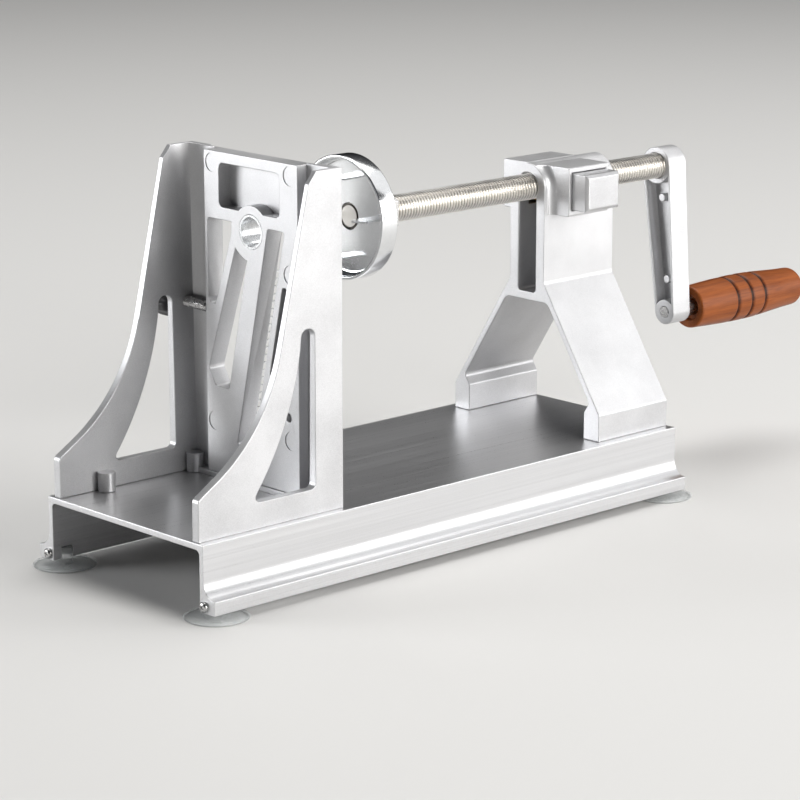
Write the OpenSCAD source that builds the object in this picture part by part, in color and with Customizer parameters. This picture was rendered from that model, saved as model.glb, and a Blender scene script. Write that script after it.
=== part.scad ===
// Hand-cranked rotary vegetable shredder on a base with suction feet.
// X runs from the discharge end to the crank, Y to the far side, Z up from the table.

/* [Base] */
// Length of the extruded base
base_l = 330; // [300:1:380]
// Width over the base walls, below the deck
base_w = 120; // [116:1:140]
// Height from the foot lip to the deck
base_h = 33; // [28:1:45]
// Thickness of the deck
deck_t = 3.2; // [2.5:0.1:5]
// Thickness of the side walls
wall_t = 3; // [2.5:0.1:4]
// How far the foot lip stands out from the wall, and the radius of the cove above it
lip_out = 8; // [7:0.5:10]
// Height of the foot lip
lip_h = 7; // [6:0.5:10]
// Fillet under the deck
deck_fillet = 2.5; // [1:0.5:5]

/* [Suction cups] */
// Diameter of a suction cup
cup_d = 32; // [26:1:40]
// Height of the base lip above the table
cup_gap = 4; // [3:0.5:6]
// Thickness of the cup at its rim
cup_rim_t = 1; // [0.8:0.1:1.5]
// Width of the flat ring that meets the table
cup_ring = 2; // [1:0.5:4]
// Diameter of the cup's neck
neck_d = 8; // [6:0.5:9]
// Depth of the neck in the wall
neck_sink = 6; // [5:0.5:8]
// Distance of a cup's centre from the end of the base
cup_end = 8.6; // [8:0.2:14]
// Distance of a cup's centre from the edge of the foot lip
cup_in = 9; // [8:0.5:10]
// Diameter of the screw that holds a cup
cup_screw_d = 3; // [2.5:0.5:4]
// Length of the screw that holds a cup
cup_screw_l = 18; // [15:1:24]
// Height of that screw above the lip's bottom
cup_screw_z = 3.2; // [2.8:0.1:4]

/* [Blade frame] */
// Distance of the wings from the edge of the deck
frame_margin = 4; // [2:0.5:6]
// Thickness of a wing at its toe
wing_t = 5; // [4:0.5:7]
// Thickness of a wing at its top
wing_top_t = 2.8; // [2.4:0.1:3.8]
// Height of the wings above the deck
wing_h = 168; // [160:1:185]
// Length of a wing along the deck
wing_l = 91.3; // [86:0.1:110]
// Length of a wing along its top, before the corner cut
wing_top_l = 21.3; // [20:0.1:30]
// Corner cut at the top of a wing, along and down
wing_cut = [5, 6]; // [3:0.5:8]
// Height of the toe at the front of a wing
toe_h = 20.5; // [16:0.5:26]
// Rise of the front edge from the toe, degrees
toe_rise = 31.5; // [28:0.5:40]
// Lean of the upper front edge from upright, degrees
wing_lean = 13; // [11:0.5:16]
// Radius of the sweep between the two front edges
sweep_r = 90; // [60:1:100]
// Distance of the wing's window from the rear edge
window_rear = 17.8; // [15:0.1:22]
// Height of the window's sill above the deck
window_sill = 13; // [10:0.5:18]
// Height of the window's top above the deck
window_top = 92.5; // [85:0.5:100]
// Length of the window along its sill
window_l = 40.8; // [30:0.1:44]
// Radius of the window's front edge
window_r = 150; // [110:1:180]
// Width of the window at its top
window_neck = 8.4; // [7:0.1:10]
// Depth of the web that joins each wing to the plate's guide
web_t = 4.3; // [4:0.1:6]
// Height of the bar that joins the wings under the plate
sill_h = 3; // [2:0.5:6]
// Distance of the frame from the end of the base
frame_inset = 1; // [0:0.5:4]
// Diameter of the frame's screws
frame_screw_d = 4; // [3:0.5:5]
// Length of the frame's screws
frame_screw_l = 10; // [8:0.5:11]
// Diameter and height of the boss round a frame screw
frame_boss = [9, 10]; // [8:0.5:12]
// Distance of the front screws from the wing's toe
frame_screw_x = 26; // [20:1:34]

/* [Blade plate] */
// Width of the plate's body
plate_w = 70; // [66:0.5:74]
// Depth of the plate's body in front of the web
plate_proud = 5.6; // [4:0.1:8]
// Width of the flange that runs behind the web
flange_w = 5; // [3:0.5:7]
// Thickness of that flange
flange_t = 2; // [1.5:0.1:2.4]
// Depth of the wings' top above the plate's top
plate_drop = 0.7; // [0:0.1:3]
// Width of the plate's left margin
plate_edge = 2; // [1.5:0.1:4]
// Radius of the ring round the core hole
hub_r = 13.2; // [12.4:0.1:14]
// Lean of the rib from upright, degrees
rib_lean = 18.7; // [17:0.1:20]
// Width of the rib
rib_w = 5.2; // [4:0.1:6]
// Place of the rib's centre line at the height of the rod
rib_y = 11.3; // [10:0.1:12]
// Lean of the blade bar from upright, degrees
bar_lean = 12.4; // [11.5:0.1:13]
// Width of the blade bar
bar_w = 11.6; // [11:0.1:12.5]
// Place of the blade bar's centre line at the height of the rod
bar_y = -6; // [-6.5:0.1:-5.5]
// Width of the cutting slot
slot_w = 12.2; // [10:0.1:13]
// Length of the cutting slot below the rod's height
slot_l = 110; // [95:1:112]
// Height of the two upper windows above the rod's height
slot_top = 3.2; // [2:0.1:4.5]
// Width of the strip beside the cutting slot
strip_w = 4; // [3:0.1:5]
// Width of the relief slot beyond the strip
relief_w = 3.4; // [3:0.1:4]
// Span of the relief slot below the rod's height
relief_span = [24.4, 70]; // [20:0.2:80]
// Foot of the left window below the rod's height
left_foot = 40; // [34:1:44]
// Foot of the middle window below the rod's height
mid_foot = 82; // [76:1:90]
// Width, height and depth of the pocket at the top of the plate
pocket = [45.5, 22, 7.5]; // [3:0.5:50]
// Width of the land above the pocket
pocket_land = 5.5; // [4:0.5:8]
// Radius and depth of the round ejector marks
ejector = [4.8, 0.4]; // [0.3:0.1:5]
// Place of the pocket's middle across the plate
pocket_y = 1.2; // [-1.5:0.1:1.5]
// Radius and depth of the small blind hole in the plate's near margin
margin_hole = [2.2, 2.5]; // [1.5:0.1:4]
// Place of that hole across the plate, and its height over the plate's foot
margin_hole_at = [-27.3, 38.2]; // [-30:0.1:45]

/* [Cutters] */
// Bore of the coring tube
core_d = 15; // [13:0.5:16]
// Wall of the coring tube
core_wall = 1; // [0.8:0.1:1.5]
// How far the coring tube stands out towards the food
core_proud = 3; // [2:0.5:4]
// Thickness of the slicing blade
blade_t = 1.2; // [0.8:0.1:1.5]
// Width of the slicing blade
blade_w = 14; // [13:0.5:15]
// How far the blade's edge overhangs the cutting slot
blade_over = 2.5; // [1.5:0.1:4]
// Length of the blade's ground bevel
blade_bevel = 3; // [2:0.5:4]
// Width of the scoring comb's strip
comb_w = 8; // [7:0.1:9]
// Thickness of the scoring comb's strip
comb_t = 1.2; // [0.8:0.1:1.5]
// Height of the comb's teeth over the strip
tooth_h = 2.6; // [2:0.1:3]
// Distance from tooth to tooth
tooth_pitch = 4; // [3:0.5:6]
// Length and thickness of a tooth
tooth = [3, 0.7]; // [0.5:0.1:4]
// Diameter of the blade screws
blade_screw_d = 2.5; // [2:0.1:2.6]
// Length of the blade screws
blade_screw_l = 7; // [6:0.5:8]

/* [Lock screw] */
// Diameter of the lock screw
lock_d = 6; // [5:0.5:6]
// Height of the lock screw above the deck
lock_z = 87.6; // [70:0.5:110]
// Gap between the wing and the lock knob
lock_gap = 4; // [3.5:0.5:8]
// Diameter of the lock knob
knob_d = 20; // [16:1:26]
// Thickness of the lock knob
knob_t = 11; // [9:0.5:16]
// Number of grip flutes round the knob
knob_flutes = 8; // [6:1:12]
// Radius of a grip flute
flute_r = 2.4; // [1.5:0.1:3]

/* [Rear bracket] */
// Length of the bracket along the base
bracket_l = 53.5; // [50:0.5:70]
// Distance of the bracket from the end of the base
bracket_inset = 1; // [0:0.5:6]
// Distance of the bracket's feet from the edge of the deck
feet_margin = 5.6; // [4:0.2:8]
// Width of a foot
foot_w = 11.2; // [10:0.2:14]
// Height of a foot
foot_h = 14.5; // [12:0.5:20]
// Thickness of a leg
leg_t = 3.5; // [3:0.1:6]
// Height of the fold where the legs meet the column
fold_h = 79.5; // [70:0.5:90]
// Height of the arch between the legs
arch_h = 69; // [60:0.5:72]
// Width of the column, and the diameter of the rod's boss
column_w = 25.4; // [24:0.2:28]
// Width of the slot through the column
column_slot_w = 13; // [10:0.5:15]
// Thickness of the crossbar between the arch and the slot
crossbar_t = 4.5; // [4:0.5:8]
// Diameter of the bracket's screws
bracket_screw_d = 5; // [4:0.5:6]
// Length of the bracket's screws
bracket_screw_l = 14; // [11:1:16]
// Distance of the bracket's screws from its ends
bracket_screw_x = 13; // [10:1:18]

/* [Quick release] */
// Distance of the near housing's front from the bracket's front
housing_x = 5.8; // [4:0.1:8]
// Length of the housing's button side
housing_l = 30.4; // [30:0.1:34]
// Height of the housing above and below the rod
housing_h = 13; // [12.4:0.1:15]
// How much lower the near housing sits than the far one
housing_drop = 1; // [0:0.1:2]
// How far the far housing's front lies behind the column's front
head_step = 0.8; // [0.4:0.1:2]
// Lead-in at the ends of the rod's bore
bore_lead = 1.2; // [0.6:0.1:2]
// How far the near housing reaches from the rod
housing_near = 25; // [22:0.5:30]
// How far the far housing reaches from the rod
housing_far = 19; // [18.5:0.5:26]
// Length of the button
button_l = 25.4; // [23:0.1:26]
// Height of the button
button_h = 19.6; // [18:0.1:20]
// How much lower than the rod the button's middle sits
button_drop = 0.8; // [0:0.1:1.2]
// How far the button stands out of the housing
button_out = 11; // [8:0.5:14]
// Bevel round the button's face
button_bevel = 1.6; // [1:0.1:2.5]
// Travel of the button
button_travel = 2.6; // [2:0.1:3]
// Wall of the half nut behind its thread
nut_wall = 2.4; // [2:0.1:3]
// Height of the half nut
nut_h = 16.4; // [16:0.1:17]
// Diameter of the release spring
spring_d = 9; // [7:0.5:11]
// Wire of the release spring
spring_wire = 0.9; // [0.6:0.1:1]
// Number of turns in the release spring
spring_turns = 3.5; // [3:0.5:4]
// Wall at the end of the far housing
housing_wall = 2; // [1.5:0.1:3]
// Radius of the cove between the column and the near housing
housing_cove = 5; // [3:0.5:6]

/* [Rod and pusher] */
// Diameter of the threaded rod
rod_d = 14; // [12:0.5:15]
// Height of the rod above the deck
rod_h = 130.2; // [126:0.2:134]
// Distance from the blade frame to the rim of the pusher cup
food_gap = 48.7; // [46:0.1:60]
// Diameter of the pusher cup
pusher_d = 63.5; // [56:0.5:70]
// Depth of the pusher cup over its rim
pusher_l = 10.5; // [9:0.5:18]
// Thickness of the cup's floor
pusher_floor = 4; // [3:0.5:6]
// Thickness of the cup's rim
pusher_rim = 2; // [1.5:0.1:3]
// Diameter and length of the hub behind the cup
pusher_hub = [24, 10]; // [8:0.5:28]
// Width, thickness and length of a prong
prong = [9, 1, 10]; // [0.8:0.1:12]
// Distance of the upper and lower prongs from the rod's axis
prong_r = 20; // [16:0.5:22]
// Distance of the side prongs from the rod's axis
prong_side = 15; // [12:0.5:18]
// Thickness of the loose washer behind the hub
washer_t = 2; // [1.5:0.1:3]
// Diameter of the loose washer
washer_d = 26; // [22:0.5:30]
// Width across the flats of the pusher nut
nut_af = 22; // [20:0.5:24]
// Thickness of the pusher nut
nut_t = 8; // [6:0.5:11]

/* [Crank] */
// Distance of the crank from the bracket
crank_gap = 47.5; // [44:0.5:70]
// Thickness of the crank arm
crank_t = 14; // [12:0.5:18]
// Distance between the rod and the grip's bolt
crank_l = 82; // [70:0.5:100]
// Tilt of the crank from straight down, degrees
crank_tilt = 6; // [0:0.5:12]
// Radius of the crank's upper boss
crank_top_r = 10.2; // [9.6:0.1:12]
// Radius of the crank's lower boss
crank_foot_r = 7; // [6:0.1:9]
// Thickness of the rim round the crank's recess
crank_rim = 1.8; // [1.5:0.1:2.2]
// Depth of the crank's recess
crank_recess = 7.5; // [6:0.5:10]
// Radius and height of the two small lugs on the recess floor
crank_lug = [2.4, 4]; // [1.5:0.1:5]
// Distances of the two lugs from the rod's axis
crank_lugs = [18.3, 64]; // [15:0.1:68]
// Depth of the rod in the crank
crank_seat = 10.5; // [9:0.5:11]
// Diameter of the crank's fixing screw
crank_screw_d = 6; // [4:0.5:6]
// Length of that screw in the rod
crank_screw_l = 12; // [8:1:18]

/* [Grip] */
// Length of the grip
grip_l = 91; // [80:1:110]
// Diameter at the grip's inner end
grip_d0 = 23.6; // [20:0.2:26]
// Largest diameter of the grip
grip_d1 = 26.2; // [24:0.2:30]
// Diameter near the grip's outer end
grip_d2 = 21.6; // [18:0.2:24]
// Distance of the grip from the crank
grip_gap = 5.5; // [3:0.5:8]
// Diameter of the grip's bolt
bolt_d = 6; // [5:0.5:6.5]
// Diameter and height of that bolt's head
bolt_head = [10, 4]; // [3:0.5:11]
// Depth of the recesses in the grip's inner and outer ends
grip_recess = [4, 9]; // [3:0.5:12]
// Diameter of the recess in the grip's inner end
recess_d = 15; // [13:0.5:17]
// Diameter of the spacer between crank and grip
spacer_d = 10; // [8:0.5:11]
// Number of grooves round the grip
groove_n = 3; // [0:1:5]
// Distance from groove to groove
groove_pitch = 11.8; // [8:0.2:14]
// Depth of a groove
groove_h = 0.7; // [0.4:0.1:1]

/* [Hidden] */
// Clearances: turning fits, screws in their holes, and sliding pieces
fit = 0.06;
screw_fit = 0.05;
slide_fit = 0.3;
// Pan heads, as shares of the screw's diameter
head_wide = 1.85;
head_high = 0.65;
$fn = 64;
past = 1;

lip_z = cup_gap;
deck_z = lip_z + base_h;
axis_z = deck_z + rod_h;
lip_y = base_w / 2 + lip_out;

cup_x = base_l / 2 - cup_end;
cup_y = lip_y - cup_in;
cup_screw_y = cup_y + neck_d / 5;

frame_w = base_w - 2 * frame_margin;
frame_x0 = -base_l / 2 + frame_inset;
frame_x1 = frame_x0 + wing_l;
wing_in = frame_w / 2 - wing_t;
wing_top = deck_z + wing_h;
web_x = frame_x1 - web_t;
plate_x = web_x - plate_proud;
frame_screw_y = wing_in - 3.5;
frame_screw_xs = [frame_x0 + frame_screw_x, web_x - frame_boss[0] / 2 + 0.5];

plate_z0 = deck_z + sill_h + slide_fit;
plate_z1 = wing_top - plate_drop;
flange_x = frame_x1 - flange_t;
lip_x = flange_x - slide_fit;
plate_half = plate_w / 2;
flange_half = plate_half + flange_w;
lock_x = web_x - slide_fit - screw_fit - lock_d / 2;
lock_h = deck_z + lock_z;
lock_tip = plate_half + slide_fit;

feet_w = base_w - 2 * feet_margin;
bracket_x1 = base_l / 2 - bracket_inset;
bracket_x0 = bracket_x1 - bracket_l;
bracket_screw_y = (feet_w - foot_w) / 2;
bracket_screw_xs = [bracket_x0 + bracket_screw_x, bracket_x1 - bracket_screw_x];
housing_x0 = bracket_x0 + housing_x;
button_x = housing_x0 + housing_l / 2;
button_z = axis_z - button_drop;
rod_r = rod_d / 2;
nut_y1 = rod_r + fit + nut_wall;
nut_y0 = -(rod_r + button_travel + 2 * slide_fit + nut_wall);
spring_l = housing_far - housing_wall - nut_y1;

cup_rim_x = frame_x1 + food_gap;
cup_floor_x = cup_rim_x + pusher_l - pusher_floor;
cup_back_x = cup_rim_x + pusher_l;
hub_x = cup_back_x + pusher_hub[1];
nut_x = hub_x + washer_t + 2 * fit;
crank_x = bracket_x1 + crank_gap;
rod_end = crank_x + crank_seat;
foot_y = -crank_l * sin(crank_tilt);
foot_z = axis_z - crank_l * cos(crank_tilt);
grip_x = crank_x + crank_t + grip_gap;
spacer_x1 = grip_x + grip_recess[0] - slide_fit;
head_x = grip_x + grip_l - grip_recess[1];

// Outline whose corners [x, y, radius] are rounded by tangent arcs
function unit(v) = v / norm(v);
function xy(p) = [p[0], p[1]];
function corner(a, b, c, r, step) = r <= 0 ? [b] : let(
    u = unit(a - b),
    v = unit(c - b),
    half = acos(max(-1, min(1, u * v))) / 2,
    centre = b + unit(u + v) * r / sin(half),
    start = b + u * r / tan(half) - centre,
    a0 = atan2(start[1], start[0]),
    turn = -sign(cross(u, v)) * (180 - 2 * half),
    n = max(2, ceil(abs(turn) / step))
) [for (i = [0:n]) centre + r * [cos(a0 + turn * i / n), sin(a0 + turn * i / n)]];
function outline(pts, step = 9) = let(n = len(pts)) [
    for (i = [0:n - 1])
        each corner(xy(pts[(i + n - 1) % n]), xy(pts[i]), xy(pts[(i + 1) % n]), pts[i][2], step)
];

// Y of a line that leans from upright, at a height q over the rod
function lean_y(y, lean, q) = y - q * tan(lean);
function across(w, lean) = w / cos(lean);

// Solids that run along X from x0 to x1, or along Y from y0 to y1
module along_x(x0, x1) {
    translate([x0, 0, 0]) rotate([90, 0, 90]) linear_extrude(x1 - x0) children();
}
module along_y(y0, y1) {
    translate([0, y1, 0]) rotate([90, 0, 0]) linear_extrude(y1 - y0) children();
}
module rod_x(x0, x1, r, y = 0, z = axis_z) {
    translate([x0, y, z]) rotate([0, 90, 0]) cylinder(h = x1 - x0, r = r);
}
module rod_y(y0, y1, r, x, z) {
    translate([x, y0, z]) rotate([-90, 0, 0]) cylinder(h = y1 - y0, r = r);
}

// Pan-head screw whose head stands on z = 0 and whose shank runs up
module pan_screw(d, l) {
    cylinder(h = l, d = d);
    translate([0, 0, -d * head_high]) cylinder(h = d * head_high, d1 = d * head_wide * 0.8, d2 = d * head_wide);
}

module base_section() {
    cove_z = lip_z + lip_h + lip_out;
    inner = base_w / 2 - wall_t;
    under = deck_z - deck_t;
    difference() {
        union() {
            translate([-base_w / 2, lip_z]) square([base_w, base_h]);
            translate([-lip_y, lip_z]) square([2 * lip_y, cove_z - lip_z]);
        }
        for (side = [-1, 1]) {
            translate([side * lip_y, cove_z]) circle(r = lip_out);
        }
        polygon(outline([
            [-inner, lip_z - past, 0], [inner, lip_z - past, 0],
            [inner, under, deck_fillet], [-inner, under, deck_fillet]
        ]));
    }
}

module base_channel() {
    color("gainsboro") difference() {
        along_x(-base_l / 2, base_l / 2) base_section();
        for (sx = [-1, 1], sy = [-1, 1]) {
            translate([sx * cup_x, sy * cup_y, lip_z - past])
                cylinder(h = neck_sink + past + slide_fit, d = neck_d + 2 * screw_fit);
            translate([sx * (base_l / 2 + past), sy * cup_screw_y, lip_z + cup_screw_z])
                rotate([0, -sx * 90, 0])
                cylinder(h = cup_screw_l + 2 * past, d = cup_screw_d + 2 * screw_fit);
        }
        for (x = frame_screw_xs, side = [-1, 1]) {
            translate([x, side * frame_screw_y, deck_z - deck_t - past])
                cylinder(h = deck_t + 2 * past, d = frame_screw_d + 2 * screw_fit);
        }
        for (x = bracket_screw_xs, side = [-1, 1]) {
            translate([x, side * bracket_screw_y, deck_z - deck_t - past])
                cylinder(h = deck_t + 2 * past, d = bracket_screw_d + 2 * screw_fit);
        }
    }
}

module suction_cup(sx, sy) {
    r = cup_d / 2;
    neck = neck_d / 2;
    color("azure", 0.5) difference() {
        translate([sx * cup_x, sy * cup_y, 0]) rotate_extrude() polygon([
            [0, cup_rim_t], [r - 2 * cup_ring, cup_rim_t / 2], [r - cup_ring, 0], [r, 0], [r, cup_rim_t],
            [(r + neck) / 2, cup_rim_t * 1.6], [neck + cup_ring / 2, lip_z - 1.6 * cup_rim_t],
            [neck, lip_z - slide_fit], [neck, lip_z + neck_sink], [0, lip_z + neck_sink]
        ]);
        rod_x(sx * cup_x - cup_d, sx * cup_x + cup_d, cup_screw_d / 2 + screw_fit,
            sy * cup_screw_y, lip_z + cup_screw_z);
    }
}

module suction_cup_front_near() { suction_cup(-1, -1); }
module suction_cup_front_far() { suction_cup(-1, 1); }
module suction_cup_rear_near() { suction_cup(1, -1); }
module suction_cup_rear_far() { suction_cup(1, 1); }

module cup_screws() {
    color("silver") for (sx = [-1, 1], sy = [-1, 1]) {
        translate([sx * base_l / 2, sy * cup_screw_y, lip_z + cup_screw_z]) rotate([0, -sx * 90, 0])
            pan_screw(cup_screw_d, cup_screw_l);
    }
}

// Wing seen from the near side: x along the base, y as height
module wing_outline() {
    brow = [frame_x1 - wing_top_l, wing_top - wing_cut[1]];
    toe = [frame_x0, deck_z + toe_h];
    run = (brow[1] - toe[1] - (brow[0] - toe[0]) / tan(wing_lean)) / (tan(toe_rise) - 1 / tan(wing_lean));
    bend = toe + run * [1, tan(toe_rise)];
    polygon(outline([
        [frame_x0, deck_z, 0], [frame_x1, deck_z, 0], [frame_x1, wing_top, 0],
        [brow[0] + wing_cut[0], wing_top, 0.8], [brow[0], brow[1], 1.5], [bend[0], bend[1], sweep_r],
        [toe[0], toe[1], 3]
    ], 3));
}

// Window in a wing, whose front edge is an arc that steepens upwards
module wing_window() {
    x1 = frame_x1 - window_rear;
    top = deck_z + window_top;
    sill = deck_z + window_sill;
    neck = window_neck / 2;
    a = [x1 - window_l, sill];
    b = [x1 - window_neck, top - neck];
    chord = norm(b - a);
    up = unit(b - a);
    centre = (a + b) / 2 + [-up[1], up[0]] * sqrt(window_r * window_r - chord * chord / 4);
    a0 = atan2(a[1] - centre[1], a[0] - centre[0]);
    a1 = atan2(b[1] - centre[1], b[0] - centre[0]);
    steps = 14;
    front = [for (i = [1:steps - 1]) let(t = a0 + (a1 - a0) * i / steps) centre + window_r * [cos(t), sin(t)]];
    polygon(outline(concat(
        [[x1, sill, 3], [x1, top, neck - 0.1], [b[0], top, neck - 0.1]],
        [for (i = [len(front) - 1:-1:0]) [front[i][0], front[i][1], 0]],
        [[a[0], a[1], 2.5]]
    )));
}

// Wing that is upright outside and thins upwards on its inner face, from half the toe's height
module wing(side) {
    mid = side * (wing_in + wing_t / 2);
    foot = toe_h / 2;
    draft = atan((wing_t - wing_top_t) / (wing_h - foot));
    difference() {
        along_y(mid - wing_t / 2, mid + wing_t / 2) difference() {
            wing_outline();
            wing_window();
        }
        translate([frame_x0 - past, side * wing_in, deck_z + foot]) rotate([-side * draft, 0, 0])
            translate([0, -wing_t, -past]) translate([0, (1 - side) * wing_t / 2, 0])
            cube([wing_l + 2 * past, wing_t, 2 * wing_h]);
    }
}

module blade_frame() {
    color("whitesmoke") difference() {
        union() {
            for (side = [-1, 1]) {
                wing(side);
                guide_w = wing_in + wing_t - 1 - plate_half - slide_fit;
                guide = side * (plate_half + slide_fit + guide_w / 2);
                translate([web_x, guide - guide_w / 2, deck_z]) cube([web_t, guide_w, wing_h]);
                for (x = frame_screw_xs) {
                    translate([x, side * frame_screw_y, deck_z]) cylinder(h = frame_boss[1], d = frame_boss[0]);
                }
            }
            translate([plate_x, -wing_in - 1, deck_z]) cube([frame_x1 - plate_x, 2 * wing_in + 2, sill_h]);
        }
        // Rebate behind the web for the plate's flange
        translate([lip_x, -flange_half - slide_fit, plate_z0 - slide_fit])
            cube([web_t + past, 2 * (flange_half + slide_fit), wing_h]);
        rod_y(wing_in - past, wing_in + wing_t + past, lock_d / 2 + screw_fit, lock_x, lock_h);
        for (x = frame_screw_xs, side = [-1, 1]) {
            translate([x, side * frame_screw_y, deck_z - past])
                cylinder(h = frame_screw_l - deck_t + 2 * past, d = frame_screw_d + 2 * screw_fit);
        }
    }
}

module frame_screws() {
    color("silver") for (x = frame_screw_xs, side = [-1, 1]) {
        translate([x, side * frame_screw_y, deck_z - deck_t]) pan_screw(frame_screw_d, frame_screw_l);
    }
}

// Band that leans from upright, from height q0 to q1 over the rod, between two places at the rod's height
module leaning_band(y0, y1, lean, q0, q1, r = 1) {
    translate([0, axis_z]) polygon(outline([
        [lean_y(y0, lean, q0), q0, r], [lean_y(y1, lean, q0), q0, r],
        [lean_y(y1, lean, q1), q1, r], [lean_y(y0, lean, q1), q1, r]
    ]));
}

rib_half = across(rib_w, rib_lean) / 2;
bar_half = across(bar_w, bar_lean) / 2;
slot_y1 = bar_y - bar_half;
slot_y0 = slot_y1 - across(slot_w, bar_lean);
relief_y1 = slot_y0 - across(strip_w, bar_lean);
relief_y0 = relief_y1 - across(relief_w, bar_lean);

// The three cutting windows and the relief slot, as y and z
module plate_windows() {
    left = plate_half - plate_edge;
    hub_gap = hub_r + 1.8;
    rib_out = rib_y + rib_half;
    rib_in = rib_y - rib_half;
    bar_out = bar_y + bar_half;
    mid_corner = (left - rib_in) / tan(rib_lean);
    difference() {
        translate([0, axis_z]) union() {
            polygon(outline([
                [left, slot_top, 2], [lean_y(rib_out, rib_lean, slot_top), slot_top, 0],
                [lean_y(rib_out, rib_lean, -left_foot), -left_foot, 1],
                [left - 2, -left_foot, 1.5], [left, -left_foot + 3, 1.5]
            ]));
            polygon(outline([
                [lean_y(rib_in, rib_lean, 0), 0, 0], [left, -mid_corner, 2], [left, -mid_foot + 8, 2],
                [left - 5, -mid_foot, 2], [lean_y(bar_out, bar_lean, -mid_foot), -mid_foot, 1.5],
                [lean_y(bar_out, bar_lean, 0), 0, 0]
            ]));
        }
        translate([0, axis_z]) circle(r = hub_gap);
    }
    leaning_band(slot_y0, slot_y1, bar_lean, -slot_l, slot_top, 1.5);
    leaning_band(relief_y0, relief_y1, bar_lean, -relief_span[1], -relief_span[0], relief_w / 2.2);
}

module blade_plate() {
    z1 = plate_z1;
    pocket_z1 = z1 - pocket_land;
    ejector_y = plate_half - ejector[0] - 1;
    marks = [[1, z1 - 5.9], [-1, z1 - 5.9], [-1, axis_z - 17.3], [-1, plate_z0 + 26.7], [1, plate_z0 + 26.7]];
    color("whitesmoke") difference() {
        union() {
            translate([plate_x, -plate_half, plate_z0]) cube([frame_x1 - plate_x, plate_w, z1 - plate_z0]);
            translate([flange_x, -flange_half, plate_z0]) cube([flange_t, 2 * flange_half, z1 - plate_z0]);
        }
        along_x(plate_x - past, frame_x1 + past) plate_windows();
        along_x(plate_x - past, plate_x + pocket[2]) difference() {
            translate([pocket_y, pocket_z1]) polygon(outline([
                [-pocket[0] / 2, 0, 3], [-pocket[0] / 2, -pocket[1], 3],
                [pocket[0] / 2, -pocket[1], 3], [pocket[0] / 2, 0, 3]
            ]));
            translate([0, axis_z]) circle(r = hub_r);
        }
        rod_x(plate_x - past, frame_x1 + past, core_d / 2 + core_wall + screw_fit);
        for (m = marks) {
            rod_x(plate_x - past, plate_x + ejector[1], ejector[0], m[0] * ejector_y, m[1]);
        }
        hole = [margin_hole_at[0], plate_z0 + margin_hole_at[1]];
        rod_x(plate_x - past, plate_x + margin_hole[1], margin_hole[0], hole[0], hole[1]);
        blade_holes() circle(d = blade_screw_d + 2 * screw_fit);
    }
}

module coring_tube() {
    color("lightsteelblue") difference() {
        rod_x(plate_x, frame_x1 + core_proud, core_d / 2 + core_wall);
        rod_x(plate_x - past, frame_x1 + core_proud + past, core_d / 2);
        translate([frame_x1 + core_proud - core_wall, 0, axis_z]) rotate([0, 90, 0])
            cylinder(h = 2 * core_wall, r1 = core_d / 2 - core_wall, r2 = core_d / 2 + core_wall);
    }
}

// Screws of the blade beyond the relief slot, and of the comb on the bar
blade_y1 = slot_y0 + across(blade_over, bar_lean);
blade_y0 = blade_y1 - across(blade_w, bar_lean);
comb_y1 = slot_y1 + across(comb_w + 1, bar_lean);
comb_y0 = slot_y1 + across(1, bar_lean);
blade_screw_q = [-relief_span[0] / 2, -relief_span[1] - 8];
comb_screw_q = [-slot_l / 4, -slot_l * 3 / 4];
comb_screw_y = comb_y1 - across(blade_screw_d * head_wide / 2, bar_lean);
blade_screw_y = (slot_y0 + relief_y1) / 2 - across(relief_w / 2, bar_lean);
blade_screws_at = concat(
    [for (q = blade_screw_q) [lean_y(blade_screw_y, bar_lean, q), q]],
    [for (q = comb_screw_q) [lean_y(comb_screw_y, bar_lean, q), q]]
);

module blade_holes() {
    along_x(frame_x1 - blade_screw_l, frame_x1 + 2 * blade_t) for (p = blade_screws_at) {
        translate([p[0], axis_z + p[1]]) children();
    }
}

module slicing_blade() {
    q0 = -slot_l + 4;
    q1 = slot_top - 5;
    color("silver") difference() {
        along_x(frame_x1, frame_x1 + blade_t) leaning_band(blade_y0, blade_y1, bar_lean, q0, q1, 0);
        // Ground bevel on the edge over the slot
        translate([frame_x1 + blade_t, blade_y1, axis_z]) rotate([bar_lean, 0, 0])
            rotate([0, 0, atan(blade_t / blade_bevel)]) translate([0, -blade_bevel * 1.5, 1.5 * q0])
            cube([blade_t * 2, blade_bevel * 3, -2 * q0]);
        blade_holes() circle(d = blade_screw_d + 2 * screw_fit);
    }
}

module scoring_comb() {
    q0 = -slot_l + 4;
    q1 = -hub_r - 4;
    n = floor((q1 - q0 - tooth_pitch) / tooth_pitch);
    tooth_y = comb_y0 + across(tooth[0] / 2 + 0.2, bar_lean);
    color("lightsteelblue") difference() {
        union() {
            along_x(frame_x1, frame_x1 + comb_t) leaning_band(comb_y0, comb_y1, bar_lean, q0, q1, 0);
            for (i = [0:n]) {
                q = q0 + tooth_pitch / 2 + i * tooth_pitch;
                translate([frame_x1 + comb_t, lean_y(tooth_y, bar_lean, q), axis_z + q - tooth[1] / 2])
                    linear_extrude(tooth[1])
                    polygon([
                        [-comb_t / 2, tooth[0] / 2], [-comb_t / 2, -tooth[0] / 2], [tooth_h, -tooth[0] / 2]
                    ]);
            }
        }
        blade_holes() circle(d = blade_screw_d + 2 * screw_fit);
    }
}

module blade_screws() {
    color("silver") for (p = blade_screws_at) {
        translate([frame_x1 + blade_t, p[0], axis_z + p[1]]) rotate([0, -90, 0])
            pan_screw(blade_screw_d, blade_screw_l);
    }
}

knob_y = wing_in + wing_t + lock_gap;

module lock_screw() {
    color("silver") rod_y(lock_tip, knob_y + knob_t * 0.7, lock_d / 2, lock_x, lock_h);
}

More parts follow.
